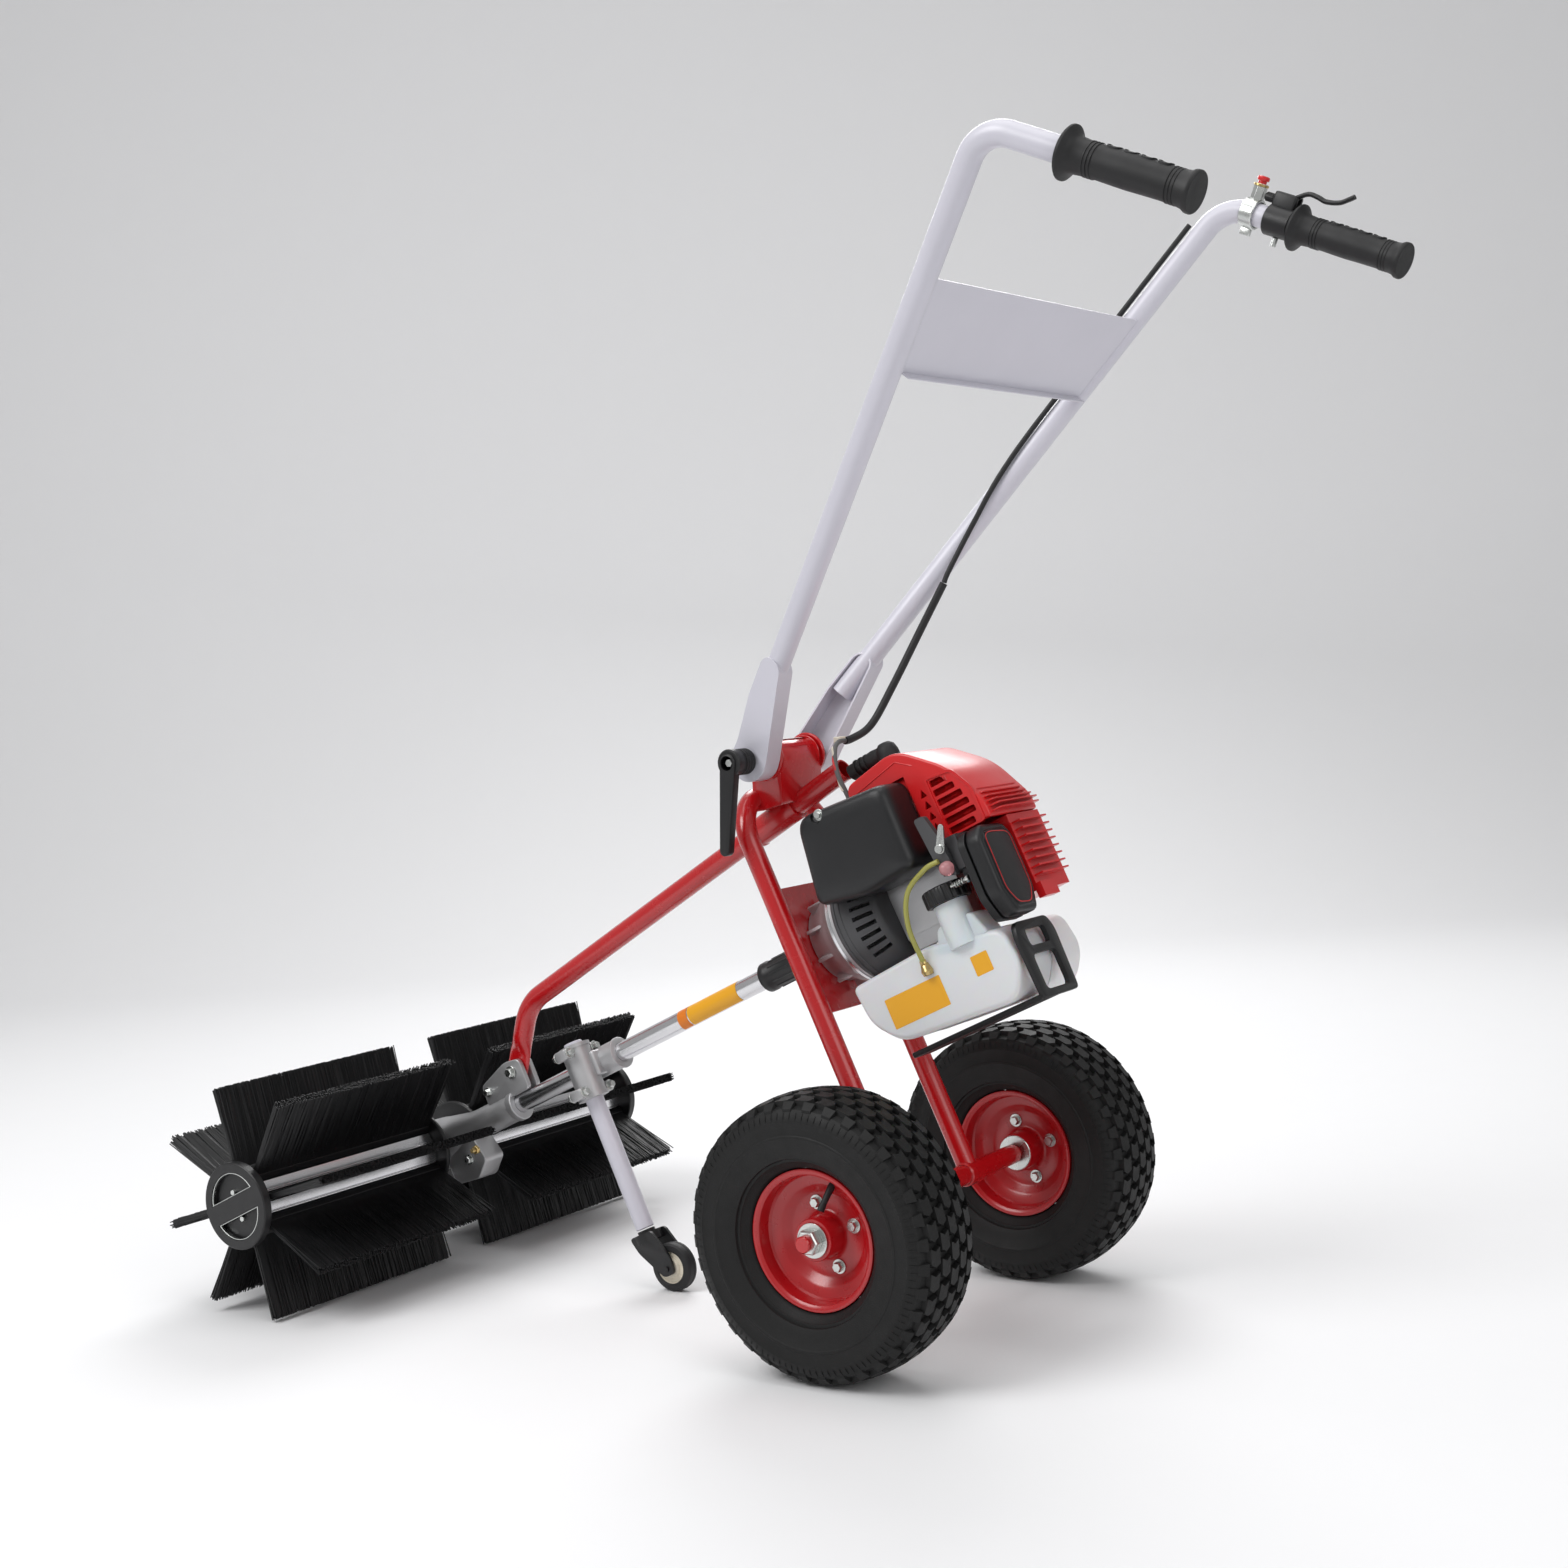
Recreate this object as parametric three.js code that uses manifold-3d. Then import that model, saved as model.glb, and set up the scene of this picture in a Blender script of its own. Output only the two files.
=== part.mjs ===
// Walk-behind power sweeper: a two-stroke engine on a wheeled steel frame drives a roller brush
// through a long drive tube and a gearbox, and a tilting handle carries the controls.
// Millimetres. +X is the machine's left, -Y is forwards (the brush end), +Z is up.
import * as THREE from "three";
import { mergeVertices } from "three/addons/utils/BufferGeometryUtils.js";
import Module from "manifold-3d";

const wasm = await Module();
wasm.setup();

// ---------------------------------------------------------------- driving dimensions
const GAP = 0.3; // clearance between pieces that touch on the real machine
const SLOPE = THREE.MathUtils.degToRad(23.7); // drive tube's rise towards the engine

const WHEEL = { radius: 165, width: 116, track: 231, rimRadius: 81, hubHalf: 34, bore: 10 };
const AXLE = { radius: 12.5, stubRadius: 9.6, beamHalf: 190, half: 288 };

const BRUSH = { y: -830, z: 152, radius: 154.5, inner: 38, outer: 364, core: 37, bore: 29, disc: 57, strips: 8 };
const BRUSH_PHASE = THREE.MathUtils.degToRad(16); // first strip's angle above the horizontal

const LINE = { brushToFrame: 786.5, tube: 13, shaft: 4 }; // along the drive tube
const LEGS = { half: 82, tube: 13, top: 203, bend: 58 };

const ARM = { tube: 14, wall: 2, top: [-98, 676], bend: [-641, 364], bendRadius: 70 };
const PIVOT = { y: -185.5, z: 694, half: 44, bolt: 8 };

const HANDLE = { tube: 14, wall: 2, foot: [84, -152, 767], corner: [296, 306, 1335], end: [286, 528, 1233] };
const HANDLE_BEND = 45;
const GRIP = { start: 100, length: 146, radius: 17.5, flange: 28 };

const POST = { x: 27, along: -456, tube: 12.5, bottom: -226 };
const CASTER = { radius: 32, width: 20, trail: 23, height: 32 };

// ---------------------------------------------------------------- geometry helpers
const V = (x, y, z) => new THREE.Vector3(x, y, z);

// A three.js geometry as a manifold solid, turned the right way out.
function solid(geometry) {
  const bare = geometry.index ? geometry.toNonIndexed() : geometry.clone();
  const shell = new THREE.BufferGeometry();
  shell.setAttribute("position", bare.getAttribute("position"));
  const merged = mergeVertices(shell, 1e-3);
  const triVerts = new Uint32Array(merged.index.array);
  const vertProperties = merged.attributes.position.array;
  let made = new wasm.Manifold(new wasm.Mesh({ numProp: 3, vertProperties, triVerts }));
  if (made.volume() < 0) {
    for (let i = 0; i < triVerts.length; i += 3) {
      [triVerts[i + 1], triVerts[i + 2]] = [triVerts[i + 2], triVerts[i + 1]];
    }
    made = new wasm.Manifold(new wasm.Mesh({ numProp: 3, vertProperties, triVerts }));
  }
  return made;
}

// A manifold solid back as a three.js geometry.
function geometryOf(made) {
  const mesh = made.getMesh();
  const geometry = new THREE.BufferGeometry();
  geometry.setAttribute("position", new THREE.BufferAttribute(mesh.vertProperties.slice(), 3));
  geometry.setIndex(new THREE.BufferAttribute(mesh.triVerts.slice(), 1));
  geometry.computeVertexNormals();
  return geometry;
}

const join = (...pieces) => geometryOf(pieces.map(solid).reduce((a, b) => a.add(b)));
const cut = (body, ...tools) => geometryOf(tools.map(solid).reduce((a, b) => a.subtract(b), solid(body)));
const common = (a, b) => geometryOf(solid(a).intersect(solid(b)));

const mirrored = (geometry) => geometryOf(solid(geometry).mirror([1, 0, 0]));

// Turns a geometry made along +Y so that it lies along the named axis.
function along(geometry, axis) {
  if (axis === "x") {
    return geometry.rotateZ(-Math.PI / 2);
  }
  return axis === "z" ? geometry.rotateX(Math.PI / 2) : geometry;
}

// A cylinder or cone between two stations of an axis, centred on (p, q) of the other two axes.
function rod(axis, from, to, radius, p = 0, q = 0, sides = 16, endRadius = radius) {
  const geometry = new THREE.CylinderGeometry(endRadius, radius, to - from, sides);
  const middle = (from + to) / 2;
  along(geometry, axis);
  if (axis === "x") {
    return geometry.translate(middle, p, q);
  }
  return axis === "y" ? geometry.translate(p, middle, q) : geometry.translate(p, q, middle);
}

// A box given by its low and high corners.
function block(x0, x1, y0, y1, z0, z1) {
  const geometry = new THREE.BoxGeometry(x1 - x0, y1 - y0, z1 - z0);
  return geometry.translate((x0 + x1) / 2, (y0 + y1) / 2, (z0 + z1) / 2);
}

// A solid of revolution about X or Y from a profile of [radius, station] pairs.
function turned(axis, profile, sides = 20) {
  const points = profile.map(([r, s]) => new THREE.Vector2(r, s));
  const onAxis = profile[0][0] === 0 && profile.at(-1)[0] === 0;
  if (!onAxis) {
    points.push(points[0].clone());
  }
  return along(new THREE.LatheGeometry(points, sides), axis);
}

// An outline with rounded corners, in its own plane.
function rounded(outline, radius) {
  const shape = new THREE.Shape();
  const corners = outline.map(([x, y]) => new THREE.Vector2(x, y));
  corners.forEach((corner, i) => {
    const before = corners.at(i - 1);
    const after = corners[(i + 1) % corners.length];
    const inward = before.clone().sub(corner).setLength(radius).add(corner);
    const outward = after.clone().sub(corner).setLength(radius).add(corner);
    if (i === 0) {
      shape.moveTo(inward.x, inward.y);
    } else {
      shape.lineTo(inward.x, inward.y);
    }
    shape.quadraticCurveTo(corner.x, corner.y, outward.x, outward.y);
  });
  shape.closePath();
  return shape;
}

// The taut outline round a set of circles, each given as [x, y, radius].
function strap(circles, steps = 16) {
  const points = circles.flatMap(([x, y, r]) => Array.from({ length: steps }, (_, i) => {
    const angle = (2 * Math.PI * i) / steps;
    return new THREE.Vector2(x + r * Math.cos(angle), y + r * Math.sin(angle));
  }));
  points.sort((p, q) => p.x - q.x || p.y - q.y);
  const half = (ordered) => {
    const chain = [];
    for (const p of ordered) {
      while (chain.length > 1 && chain.at(-1).clone().sub(chain.at(-2)).cross(p.clone().sub(chain.at(-1))) <= 1e-3) {
        chain.pop();
      }
      chain.push(p);
    }
    return chain.slice(0, -1);
  };
  return new THREE.Shape([...half(points), ...half([...points].reverse())]);
}

const EXTRUDE = { bevelEnabled: false, curveSegments: 4 };

// A shape drawn in (Y, Z) and extruded along X between two stations, with an optional bevel.
function slab(shape, x0, x1, bevel = 0) {
  const depth = x1 - x0 - 2 * bevel;
  const options = bevel ? { bevelSize: bevel, bevelThickness: bevel, bevelSegments: 1, bevelOffset: -bevel } : EXTRUDE;
  const geometry = new THREE.ExtrudeGeometry(shape, { curveSegments: 4, ...options, depth });
  // shape X becomes Y, shape Y becomes Z and the extrusion becomes X
  geometry.applyMatrix4(new THREE.Matrix4().makeBasis(V(0, 1, 0), V(0, 0, 1), V(1, 0, 0)));
  return geometry.translate(x0 + bevel, 0, 0);
}

// A shape drawn in (X, Z) and extruded along Y between two stations.
function sheet(shape, y0, y1, bevel = 0) {
  const depth = y1 - y0 - 2 * bevel;
  const options = bevel ? { bevelSize: bevel, bevelThickness: bevel, bevelSegments: 1, bevelOffset: -bevel } : EXTRUDE;
  const geometry = new THREE.ExtrudeGeometry(shape, { curveSegments: 4, ...options, depth });
  geometry.applyMatrix4(new THREE.Matrix4().makeBasis(V(1, 0, 0), V(0, 0, 1), V(0, -1, 0)));
  return geometry.translate(0, y1 - bevel, 0);
}

// A curve that visits only the stations it is given, so straight runs cost one step.
class Route extends THREE.Curve {
  constructor(points, tangents) {
    super();
    this.points = points;
    this.tangents = tangents;
  }
  index(t) {
    return Math.round(t * (this.points.length - 1));
  }
  getPoint(t, target = V()) {
    return target.copy(this.points[this.index(t)]);
  }
  getPointAt(t, target) {
    return this.getPoint(t, target);
  }
  getTangentAt(t, target = V()) {
    return target.copy(this.tangents[this.index(t)]);
  }
  getSpacedPoints() {
    return this.points;
  }
}

// Straight runs between corners, each corner turned with the given bend radius.
function bentRoute(corners, bendRadius, stepsPerBend = 6) {
  const points = [corners[0]];
  const tangents = [corners[1].clone().sub(corners[0]).normalize()];
  for (let i = 1; i < corners.length - 1; i += 1) {
    const arriving = corners[i].clone().sub(corners[i - 1]).normalize();
    const leaving = corners[i + 1].clone().sub(corners[i]).normalize();
    const angle = arriving.angleTo(leaving);
    const reach = bendRadius * Math.tan(angle / 2);
    const start = corners[i].clone().addScaledVector(arriving, -reach);
    const side = leaving.clone().addScaledVector(arriving, -Math.cos(angle)).normalize();
    for (let k = 0; k <= stepsPerBend; k += 1) {
      const turn = (angle * k) / stepsPerBend;
      const point = start.clone().addScaledVector(arriving, bendRadius * Math.sin(turn));
      points.push(point.addScaledVector(side, bendRadius * (1 - Math.cos(turn))));
      const tangent = arriving.clone().multiplyScalar(Math.cos(turn));
      tangents.push(tangent.addScaledVector(side, Math.sin(turn)));
    }
  }
  points.push(corners.at(-1));
  tangents.push(corners.at(-1).clone().sub(corners.at(-2)).normalize());
  return new Route(points, tangents);
}

// A smooth route through hand-placed points.
function smoothRoute(corners, steps) {
  const curve = new THREE.CatmullRomCurve3(corners);
  const stations = Array.from({ length: steps + 1 }, (_, i) => i / steps);
  return new Route(stations.map((t) => curve.getPointAt(t)), stations.map((t) => curve.getTangentAt(t)));
}

// The corners of a regular polygon.
const ring = (radius, sides) => Array.from({ length: sides }, (_, i) => {
  const angle = (2 * Math.PI * i) / sides;
  return new THREE.Vector2(radius * Math.cos(angle), radius * Math.sin(angle));
});

// A round section, solid or hollow, carried along a route.
function pipe(route, radius, inner = 0, sides = 12) {
  const shape = new THREE.Shape(ring(radius, sides));
  if (inner > 0) {
    shape.holes.push(new THREE.Path(ring(inner, sides).reverse()));
  }
  const steps = route.points.length - 1;
  return new THREE.ExtrudeGeometry(shape, { steps, bevelEnabled: false, extrudePath: route });
}

const straight = (from, to) => {
  const direction = to.clone().sub(from).normalize();
  return new Route([from, to], [direction, direction]);
};

// ---------------------------------------------------------------- materials
const paint = (color, roughness, metalness) => new THREE.MeshStandardMaterial({ color, roughness, metalness });
const RED = paint(0xc4161c, 0.3, 0.1);
const GREY_PAINT = paint(0xc9c6d6, 0.35, 0.2);
const BLACK_PLASTIC = paint(0x1c1c1e, 0.5, 0);
const RUBBER = paint(0x161616, 0.85, 0);
const BRISTLE = paint(0x0f0f11, 0.9, 0);
const ALUMINIUM = paint(0xb9babc, 0.35, 0.9);
const CAST = paint(0xa2a3a5, 0.55, 0.8);
const DARK_CAST = paint(0x4a4b4d, 0.6, 0.6);
const ZINC = paint(0xb4b8b6, 0.3, 1);
const RED_PLASTIC = paint(0xd8262a, 0.4, 0);
const WHITE_PLASTIC = paint(0xe6e5e8, 0.45, 0);
const FUEL_HOSE = paint(0xb5ad4a, 0.4, 0);

// ---------------------------------------------------------------- frames
const sweeper = new THREE.Group();

// The drive line's frame: local +Y runs up the drive tube, local +Z is square to it.
const line = new THREE.Group();
const lineY = BRUSH.y + LINE.brushToFrame * Math.cos(SLOPE);
const lineZ = BRUSH.z + LINE.brushToFrame * Math.sin(SLOPE);
line.position.set(0, lineY, lineZ);
line.rotation.x = SLOPE;
sweeper.add(line);

// A point of the machine's side view, given in the drive line's frame.
function toLine(y, z) {
  const dy = y - lineY;
  const dz = z - lineZ;
  return {
    a: dy * Math.cos(SLOPE) + dz * Math.sin(SLOPE),
    u: dz * Math.cos(SLOPE) - dy * Math.sin(SLOPE),
  };
}

function add(parent, name, material, geometry) {
  const mesh = new THREE.Mesh(geometryOf(solid(geometry)), material);
  mesh.name = name;
  parent.add(mesh);
  return mesh;
}

// Adds a left piece and its mirror image.
function addPair(parent, name, material, geometry) {
  add(parent, `${name}_left`, material, geometry);
  add(parent, `${name}_right`, material, mirrored(geometry));
}

const AXLE_POINT = toLine(0, WHEEL.radius);
const LEG_PLANE = AXLE_POINT.a;
const BRUSH_A = -LINE.brushToFrame;

// ---------------------------------------------------------------- wheels and axle
function tyre() {
  const w = WHEEL.width / 2;
  const r = WHEEL.radius;
  const side = [[82, 31], [85, 42], [120, w], [143, w - 1], [157, w - 9], [162, w - 24], [r, 0]];
  const inner = [[82, 26], [100, 38], [143, 48], [152, 22]];
  const flipped = (profile) => profile.map(([radius, station]) => [radius, -station]);
  const outline = [...side, ...flipped(side.slice(0, -1)).reverse(), ...flipped(inner), ...[...inner].reverse()];
  return turned("x", outline, 24).translate(WHEEL.track, 0, WHEEL.radius);
}

// Two pressed dishes back to back, with a hub tube through them.
function rim() {
  const h = WHEEL.hubHalf;
  const b = WHEEL.bore;
  const r = WHEEL.rimRadius;
  const seat = [[r, 37.5], [r + 0.4, 33], [77, 31], [75.8, 14], [62, 10]];
  const dish = [[77, 37.5], [73, 33], [72, 17.5], [58, 13.5], [50, 4], [24, 4], [24, h]];
  const flipped = (profile) => profile.map(([radius, station]) => [radius, -station]);
  const profile = [...seat, ...flipped(seat).reverse(), ...flipped(dish), [b, -h], [b, h], ...[...dish].reverse()];
  return turned("x", profile, 20).translate(WHEEL.track, 0, WHEEL.radius);
}

function axleNut() {
  const start = WHEEL.track + WHEEL.hubHalf + GAP;
  const washer = rod("x", start, start + 3, 20, 0, WHEEL.radius, 20);
  const nut = rod("x", start + 3, start + 15, 15, 0, WHEEL.radius, 6);
  return cut(join(washer, nut), rod("x", start - 1, start + 20, AXLE.stubRadius + 0.4, 0, WHEEL.radius, 16));
}

function axleBeam() {
  const { radius, stubRadius, beamHalf, half } = AXLE;
  const profile = [[0, -half], [stubRadius, -half], [stubRadius, -beamHalf], [radius, -beamHalf]];
  const other = profile.map(([r, s]) => [r, -s]).reverse();
  return turned("x", [...profile, ...other], 16).translate(0, 0, WHEEL.radius);
}

addPair(sweeper, "tyre", RUBBER, tyre());
addPair(sweeper, "rim", RED, rim());
add(sweeper, "axle_beam", RED, axleBeam());
addPair(sweeper, "axle_nut", ZINC, axleNut());

// ---------------------------------------------------------------- welded frame
function legRoute() {
  const foot = AXLE_POINT.u + 8;
  const corners = [[-LEGS.half, foot], [-LEGS.half, LEGS.top], [LEGS.half, LEGS.top], [LEGS.half, foot]];
  return bentRoute(corners.map(([x, u]) => V(x, LEG_PLANE, u)), LEGS.bend, 5);
}

function frameLegs() {
  const tube = pipe(legRoute(), LEGS.tube, LEGS.tube - 2, 12);
  return cut(tube, rod("x", -120, 120, AXLE.radius + GAP, AXLE_POINT.a, AXLE_POINT.u));
}

function enginePlate() {
  const half = LEGS.half - LEGS.tube - GAP;
  const outline = rounded([[-half, -82], [half, -82], [half, 82], [-half, 82]], 8);
  const plate = sheet(outline, LEG_PLANE - 2.5, LEG_PLANE + 2.5);
  return cut(plate, rod("y", LEG_PLANE - 5, LEG_PLANE + 5, 22));
}

const armDirection = V(0, ARM.top[0] - ARM.bend[0], ARM.top[1] - ARM.bend[1]).normalize();
const armPoint = (y) => V(0, y, ARM.bend[1] + ((y - ARM.bend[0]) * armDirection.z) / armDirection.y);

function pivotHead() {
  const r = 22;
  const shape = new THREE.Shape();
  shape.moveTo(-r, 0);
  shape.absarc(0, 0, r, Math.PI, 0, true);
  shape.lineTo(r, -56);
  shape.lineTo(-r, -66);
  shape.closePath();
  const body = slab(shape, -PIVOT.half, PIVOT.half).translate(0, PIVOT.y, PIVOT.z);
  const collars = [-PIVOT.half - 5, PIVOT.half - 1].map((x) => rod("x", x, x + 6, 27, PIVOT.y, PIVOT.z, 20));
  const sleeve = pipe(straight(armPoint(-236), armPoint(-172)), 18, 0, 12);
  const bore = pipe(straight(armPoint(-300), armPoint(-100)), ARM.tube + GAP, 0, 12);
  const bolt = rod("x", -80, 80, PIVOT.bolt + 0.4, PIVOT.y, PIVOT.z);
  const topBar = pipe(legRoute(), LEGS.tube + GAP, 0, 12).rotateX(SLOPE).translate(0, lineY, lineZ);
  return cut(join(body, ...collars, sleeve), bore, bolt, topBar);
}

const EAR_BOLT = { a: -592, u: 43 }; // where the arm's flattened end is bolted

function supportArm() {
  const toWorld = ({ a, u }) => V(
    0,
    lineY + a * Math.cos(SLOPE) - u * Math.sin(SLOPE),
    lineZ + a * Math.sin(SLOPE) + u * Math.cos(SLOPE),
  );
  const bend = V(0, ...ARM.bend);
  const eye = toWorld(EAR_BOLT);
  const down = eye.clone().sub(bend).normalize();
  const tubeEnd = eye.clone().addScaledVector(down, -34);
  const tube = pipe(bentRoute([V(0, ...ARM.top), bend, tubeEnd], ARM.bendRadius, 4), ARM.tube, ARM.tube - ARM.wall, 12);
  // the flattened end, 10 mm thick, drawn with its length along +Y before it is turned
  const tab = new THREE.Shape();
  tab.moveTo(-38, -13);
  tab.lineTo(-22, -17);
  tab.lineTo(0, -17);
  tab.absarc(0, 0, 17, -Math.PI / 2, Math.PI / 2, false);
  tab.lineTo(-22, 17);
  tab.lineTo(-38, 13);
  tab.closePath();
  const flat = slab(tab, -5, 5).rotateX(Math.atan2(down.z, down.y)).translate(eye.x, eye.y, eye.z);
  return cut(join(tube, flat), rod("x", -10, 10, 5, eye.y, eye.z, 12));
}

add(line, "frame_legs", RED, frameLegs());
add(line, "engine_plate", RED, enginePlate());
add(sweeper, "pivot_head", RED, pivotHead());
add(sweeper, "support_arm", RED, supportArm());

// ---------------------------------------------------------------- drive tube and gearbox
const TUBE_FRONT = -690;
const TUBE_REAR = -32;
const GEAR = { cavity: 28, half: 31, body: 37 };

function driveTube() {
  const ends = straight(V(0, TUBE_FRONT, 0), V(0, TUBE_REAR, 0));
  return pipe(ends, LINE.tube, LINE.tube - 2, 20);
}

function gearboxHousing() {
  const socket = rod("y", -716, -607, 20.5, 0, 0, 20);
  const lip = rod("y", -618, -607, 22.5, 0, 0, 20);
  const neck = rod("y", BRUSH_A, -712, 34, 0, 0, 20, 21);
  const head = rod("x", -GEAR.half, GEAR.half, GEAR.body, BRUSH_A, 0, 24);
  const ears = rounded([[-655, 12], [-572, 12], [-572, 56], [-600, 60], [-655, 44]], 6);
  const lugs = [5.4, -13.4].map((x) => slab(ears, x, x + 8));
  const foot = slab(rounded([[-762, -64], [-716, -70], [-690, -50], [-700, -14], [-762, -14]], 5), -19, 19);
  const body = join(socket, lip, neck, head, ...lugs, foot);
  const boltHole = rod("x", -20, 20, 4.5, EAR_BOLT.a, EAR_BOLT.u, 12);
  const tubeBore = rod("y", TUBE_FRONT - 4, -600, LINE.tube + GAP, 0, 0, 20);
  const shaftBore = rod("y", BRUSH_A + 5, TUBE_FRONT + 2, LINE.shaft + 8, 0, 0, 16);
  const cavity = rod("x", -24, 24, GEAR.cavity, BRUSH_A, 0, 20);
  const output = rod("x", -50, 50, 11, BRUSH_A, 0, 16);
  return cut(body, boltHole, tubeBore, shaftBore, cavity, output);
}

// A toothed wheel's outline, its teeth standing out by the tooth height.
function toothed(teeth, radius, height) {
  const points = Array.from({ length: teeth * 4 }, (_, i) => {
    const r = i % 4 < 2 ? radius : radius - height;
    const angle = (2 * Math.PI * (i + 0.5)) / (teeth * 4);
    return new THREE.Vector2(r * Math.cos(angle), r * Math.sin(angle));
  });
  return new THREE.Shape(points);
}

function driveShaft() {
  const pinion = sheet(toothed(8, 9.5, 2.2), BRUSH_A + 12, BRUSH_A + 27);
  const shaft = rod("y", BRUSH_A + 20, 0, LINE.shaft, 0, 0, 14);
  const drum = turned("y", [[0, -4], [39, -4], [39, 24], [36, 24], [36, 2], [0, 2]], 24);
  return join(pinion, shaft, drum);
}

function tubeBoot() {
  const boot = [[LINE.tube + GAP, -136], [19, -136], [20, -128], [20, -78], [27, -60], [31, -36], [31, -24]];
  return turned("y", [...boot, [LINE.tube + GAP, -24]], 24);
}

add(line, "drive_tube", ALUMINIUM, driveTube());
add(line, "gearbox_housing", CAST, gearboxHousing());
add(line, "drive_shaft", ZINC, driveShaft());
add(line, "tube_boot", RUBBER, tubeBoot());

// ---------------------------------------------------------------- roller brush
function brushShaft() {
  const shaft = rod("x", -62, 62, 9.7, 0, 0, 20);
  const gear = slab(toothed(16, 26, 3.5), 11, 20);
  const hubs = [-60, 46].map((x) => rod("x", x, x + 14, BRUSH.bore - GAP, 0, 0, 24));
  return join(shaft, gear, ...hubs).translate(0, BRUSH_A, 0);
}

// The extruded aluminium core, with a shallow slot under each strip.
function brushCore() {
  const half = Math.PI / BRUSH.strips;
  const slot = 0.17;
  const stations = [[0, -half], [0, -slot], [-4, -slot + 0.04], [-4, slot - 0.04], [0, slot]];
  const outline = Array.from({ length: BRUSH.strips }, (_, i) => stations.map(([depth, offset]) => {
    const angle = stripAngle(i) + offset;
    const radius = BRUSH.core + depth;
    return new THREE.Vector2(radius * Math.cos(angle), radius * Math.sin(angle));
  })).flat();
  const shape = new THREE.Shape(outline);
  shape.holes.push(new THREE.Path(ring(BRUSH.bore + 0.4, 24).reverse()));
  return slab(shape, BRUSH.inner + 4, BRUSH.outer).translate(0, BRUSH_A, 0);
}

// A strip's angle in the drive line's frame.
function stripAngle(index) {
  return BRUSH_PHASE - SLOPE + (2 * Math.PI * index) / BRUSH.strips;
}

function bristles() {
  const root = BRUSH.core + GAP + 0.4;
  const wedge = new THREE.Shape();
  [[root, -3.5], [BRUSH.radius, -6], [BRUSH.radius, 6], [root, 3.5]].forEach(([x, y], i) => {
    if (i === 0) {
      wedge.moveTo(x, y);
    } else {
      wedge.lineTo(x, y);
    }
  });
  wedge.closePath();
  const strips = Array.from({ length: BRUSH.strips }, (_, i) => slab(wedge, BRUSH.inner, BRUSH.outer).rotateX(stripAngle(i)));
  const disc = rod("x", BRUSH.inner - 3.5, BRUSH.inner + 3, BRUSH.disc, 0, 0, 24);
  const collar = cut(disc, rod("x", 0, 100, 12, 0, 0, 20));
  const relief = rod("x", BRUSH.inner, BRUSH.outer + 1, root - 0.05, 0, 0, 24);
  return cut(join(collar, ...strips), relief).translate(0, BRUSH_A, 0);
}

function endDisc() {
  const face = BRUSH.outer + GAP;
  const plug = BRUSH.bore - GAP;
  const profile = [[0, face - 14], [plug, face - 14], [plug, face], [BRUSH.disc - 2, face], [BRUSH.disc, face + 3]];
  const rest = [[BRUSH.disc, face + 10], [BRUSH.disc - 3, face + 13], [0, face + 13]];
  const disc = turned("x", [...profile, ...rest], 24);
  const recess = new THREE.Shape();
  recess.absarc(0, 0, 44, 0.35, Math.PI - 0.35, false);
  recess.lineTo(44 * Math.cos(Math.PI - 0.35), 10);
  recess.lineTo(44 * Math.cos(0.35), 10);
  recess.closePath();
  const pocket = slab(recess, face + 5, face + 20);
  return cut(disc, pocket, pocket.clone().rotateX(Math.PI)).translate(0, BRUSH_A, 0);
}

add(line, "brush_shaft", ZINC, brushShaft());
addPair(line, "brush_core", ALUMINIUM, brushCore());
addPair(line, "bristles", BRISTLE, bristles());
addPair(line, "end_disc", BLACK_PLASTIC, endDisc());

// ---------------------------------------------------------------- caster and its clamp
const CASTER_A = POST.along + CASTER.trail;
const CASTER_U = (CASTER.height - lineZ - CASTER_A * Math.sin(SLOPE)) / Math.cos(SLOPE);
const CLAMP = { low: -42, high: 34, barrel: 20 };

function clampBarrel(side) {
  const barrel = rod("z", CLAMP.low, CLAMP.high, CLAMP.barrel, POST.x, POST.along, 20);
  const flanges = [CLAMP.low + 3, CLAMP.high - 17].map((u) => (
    block(POST.x - 33, POST.x + 33, POST.along - 11, POST.along + 11, u, u + 14)
  ));
  const gap = 0.6 * side;
  const low = side > 0 ? POST.along + gap : POST.along - 60;
  const high = side > 0 ? POST.along + 60 : POST.along + gap;
  const keep = block(-60, 90, low, high, CLAMP.low - 5, CLAMP.high + 5);
  const post = rod("z", -100, 100, POST.tube + GAP, POST.x, POST.along, 20);
  return cut(common(join(barrel, ...flanges), keep), post);
}

function clampBody() {
  const ring = rod("y", POST.along + 0.6, POST.along + 52, 20, 0, 0, 20);
  const front = rod("y", POST.along + 0.6, POST.along + 22, 20, 0, 0, 20);
  const saddle = block(-4, POST.x - 2, POST.along + 0.6, POST.along + 24, -18, 18);
  const tube = rod("y", -600, -300, LINE.tube + GAP, 0, 0, 20);
  const post = rod("z", -100, 100, POST.tube + GAP, POST.x, POST.along, 20);
  return cut(join(clampBarrel(1), ring, front, saddle), tube, post);
}

function clampCap() {
  return cut(clampBarrel(-1), rod("y", -600, -300, LINE.tube + GAP, 0, 0, 20));
}

const STEM = { radius: 6, bottom: POST.bottom - 20 };

function casterPost() {
  const profile = [[0, STEM.bottom], [STEM.radius, STEM.bottom], [STEM.radius, POST.bottom], [POST.tube, POST.bottom]];
  const geometry = turned("y", [...profile, [POST.tube, CLAMP.high + 4], [0, CLAMP.high + 4]], 20);
  return geometry.rotateX(Math.PI / 2).translate(POST.x, POST.along, 0);
}

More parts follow.
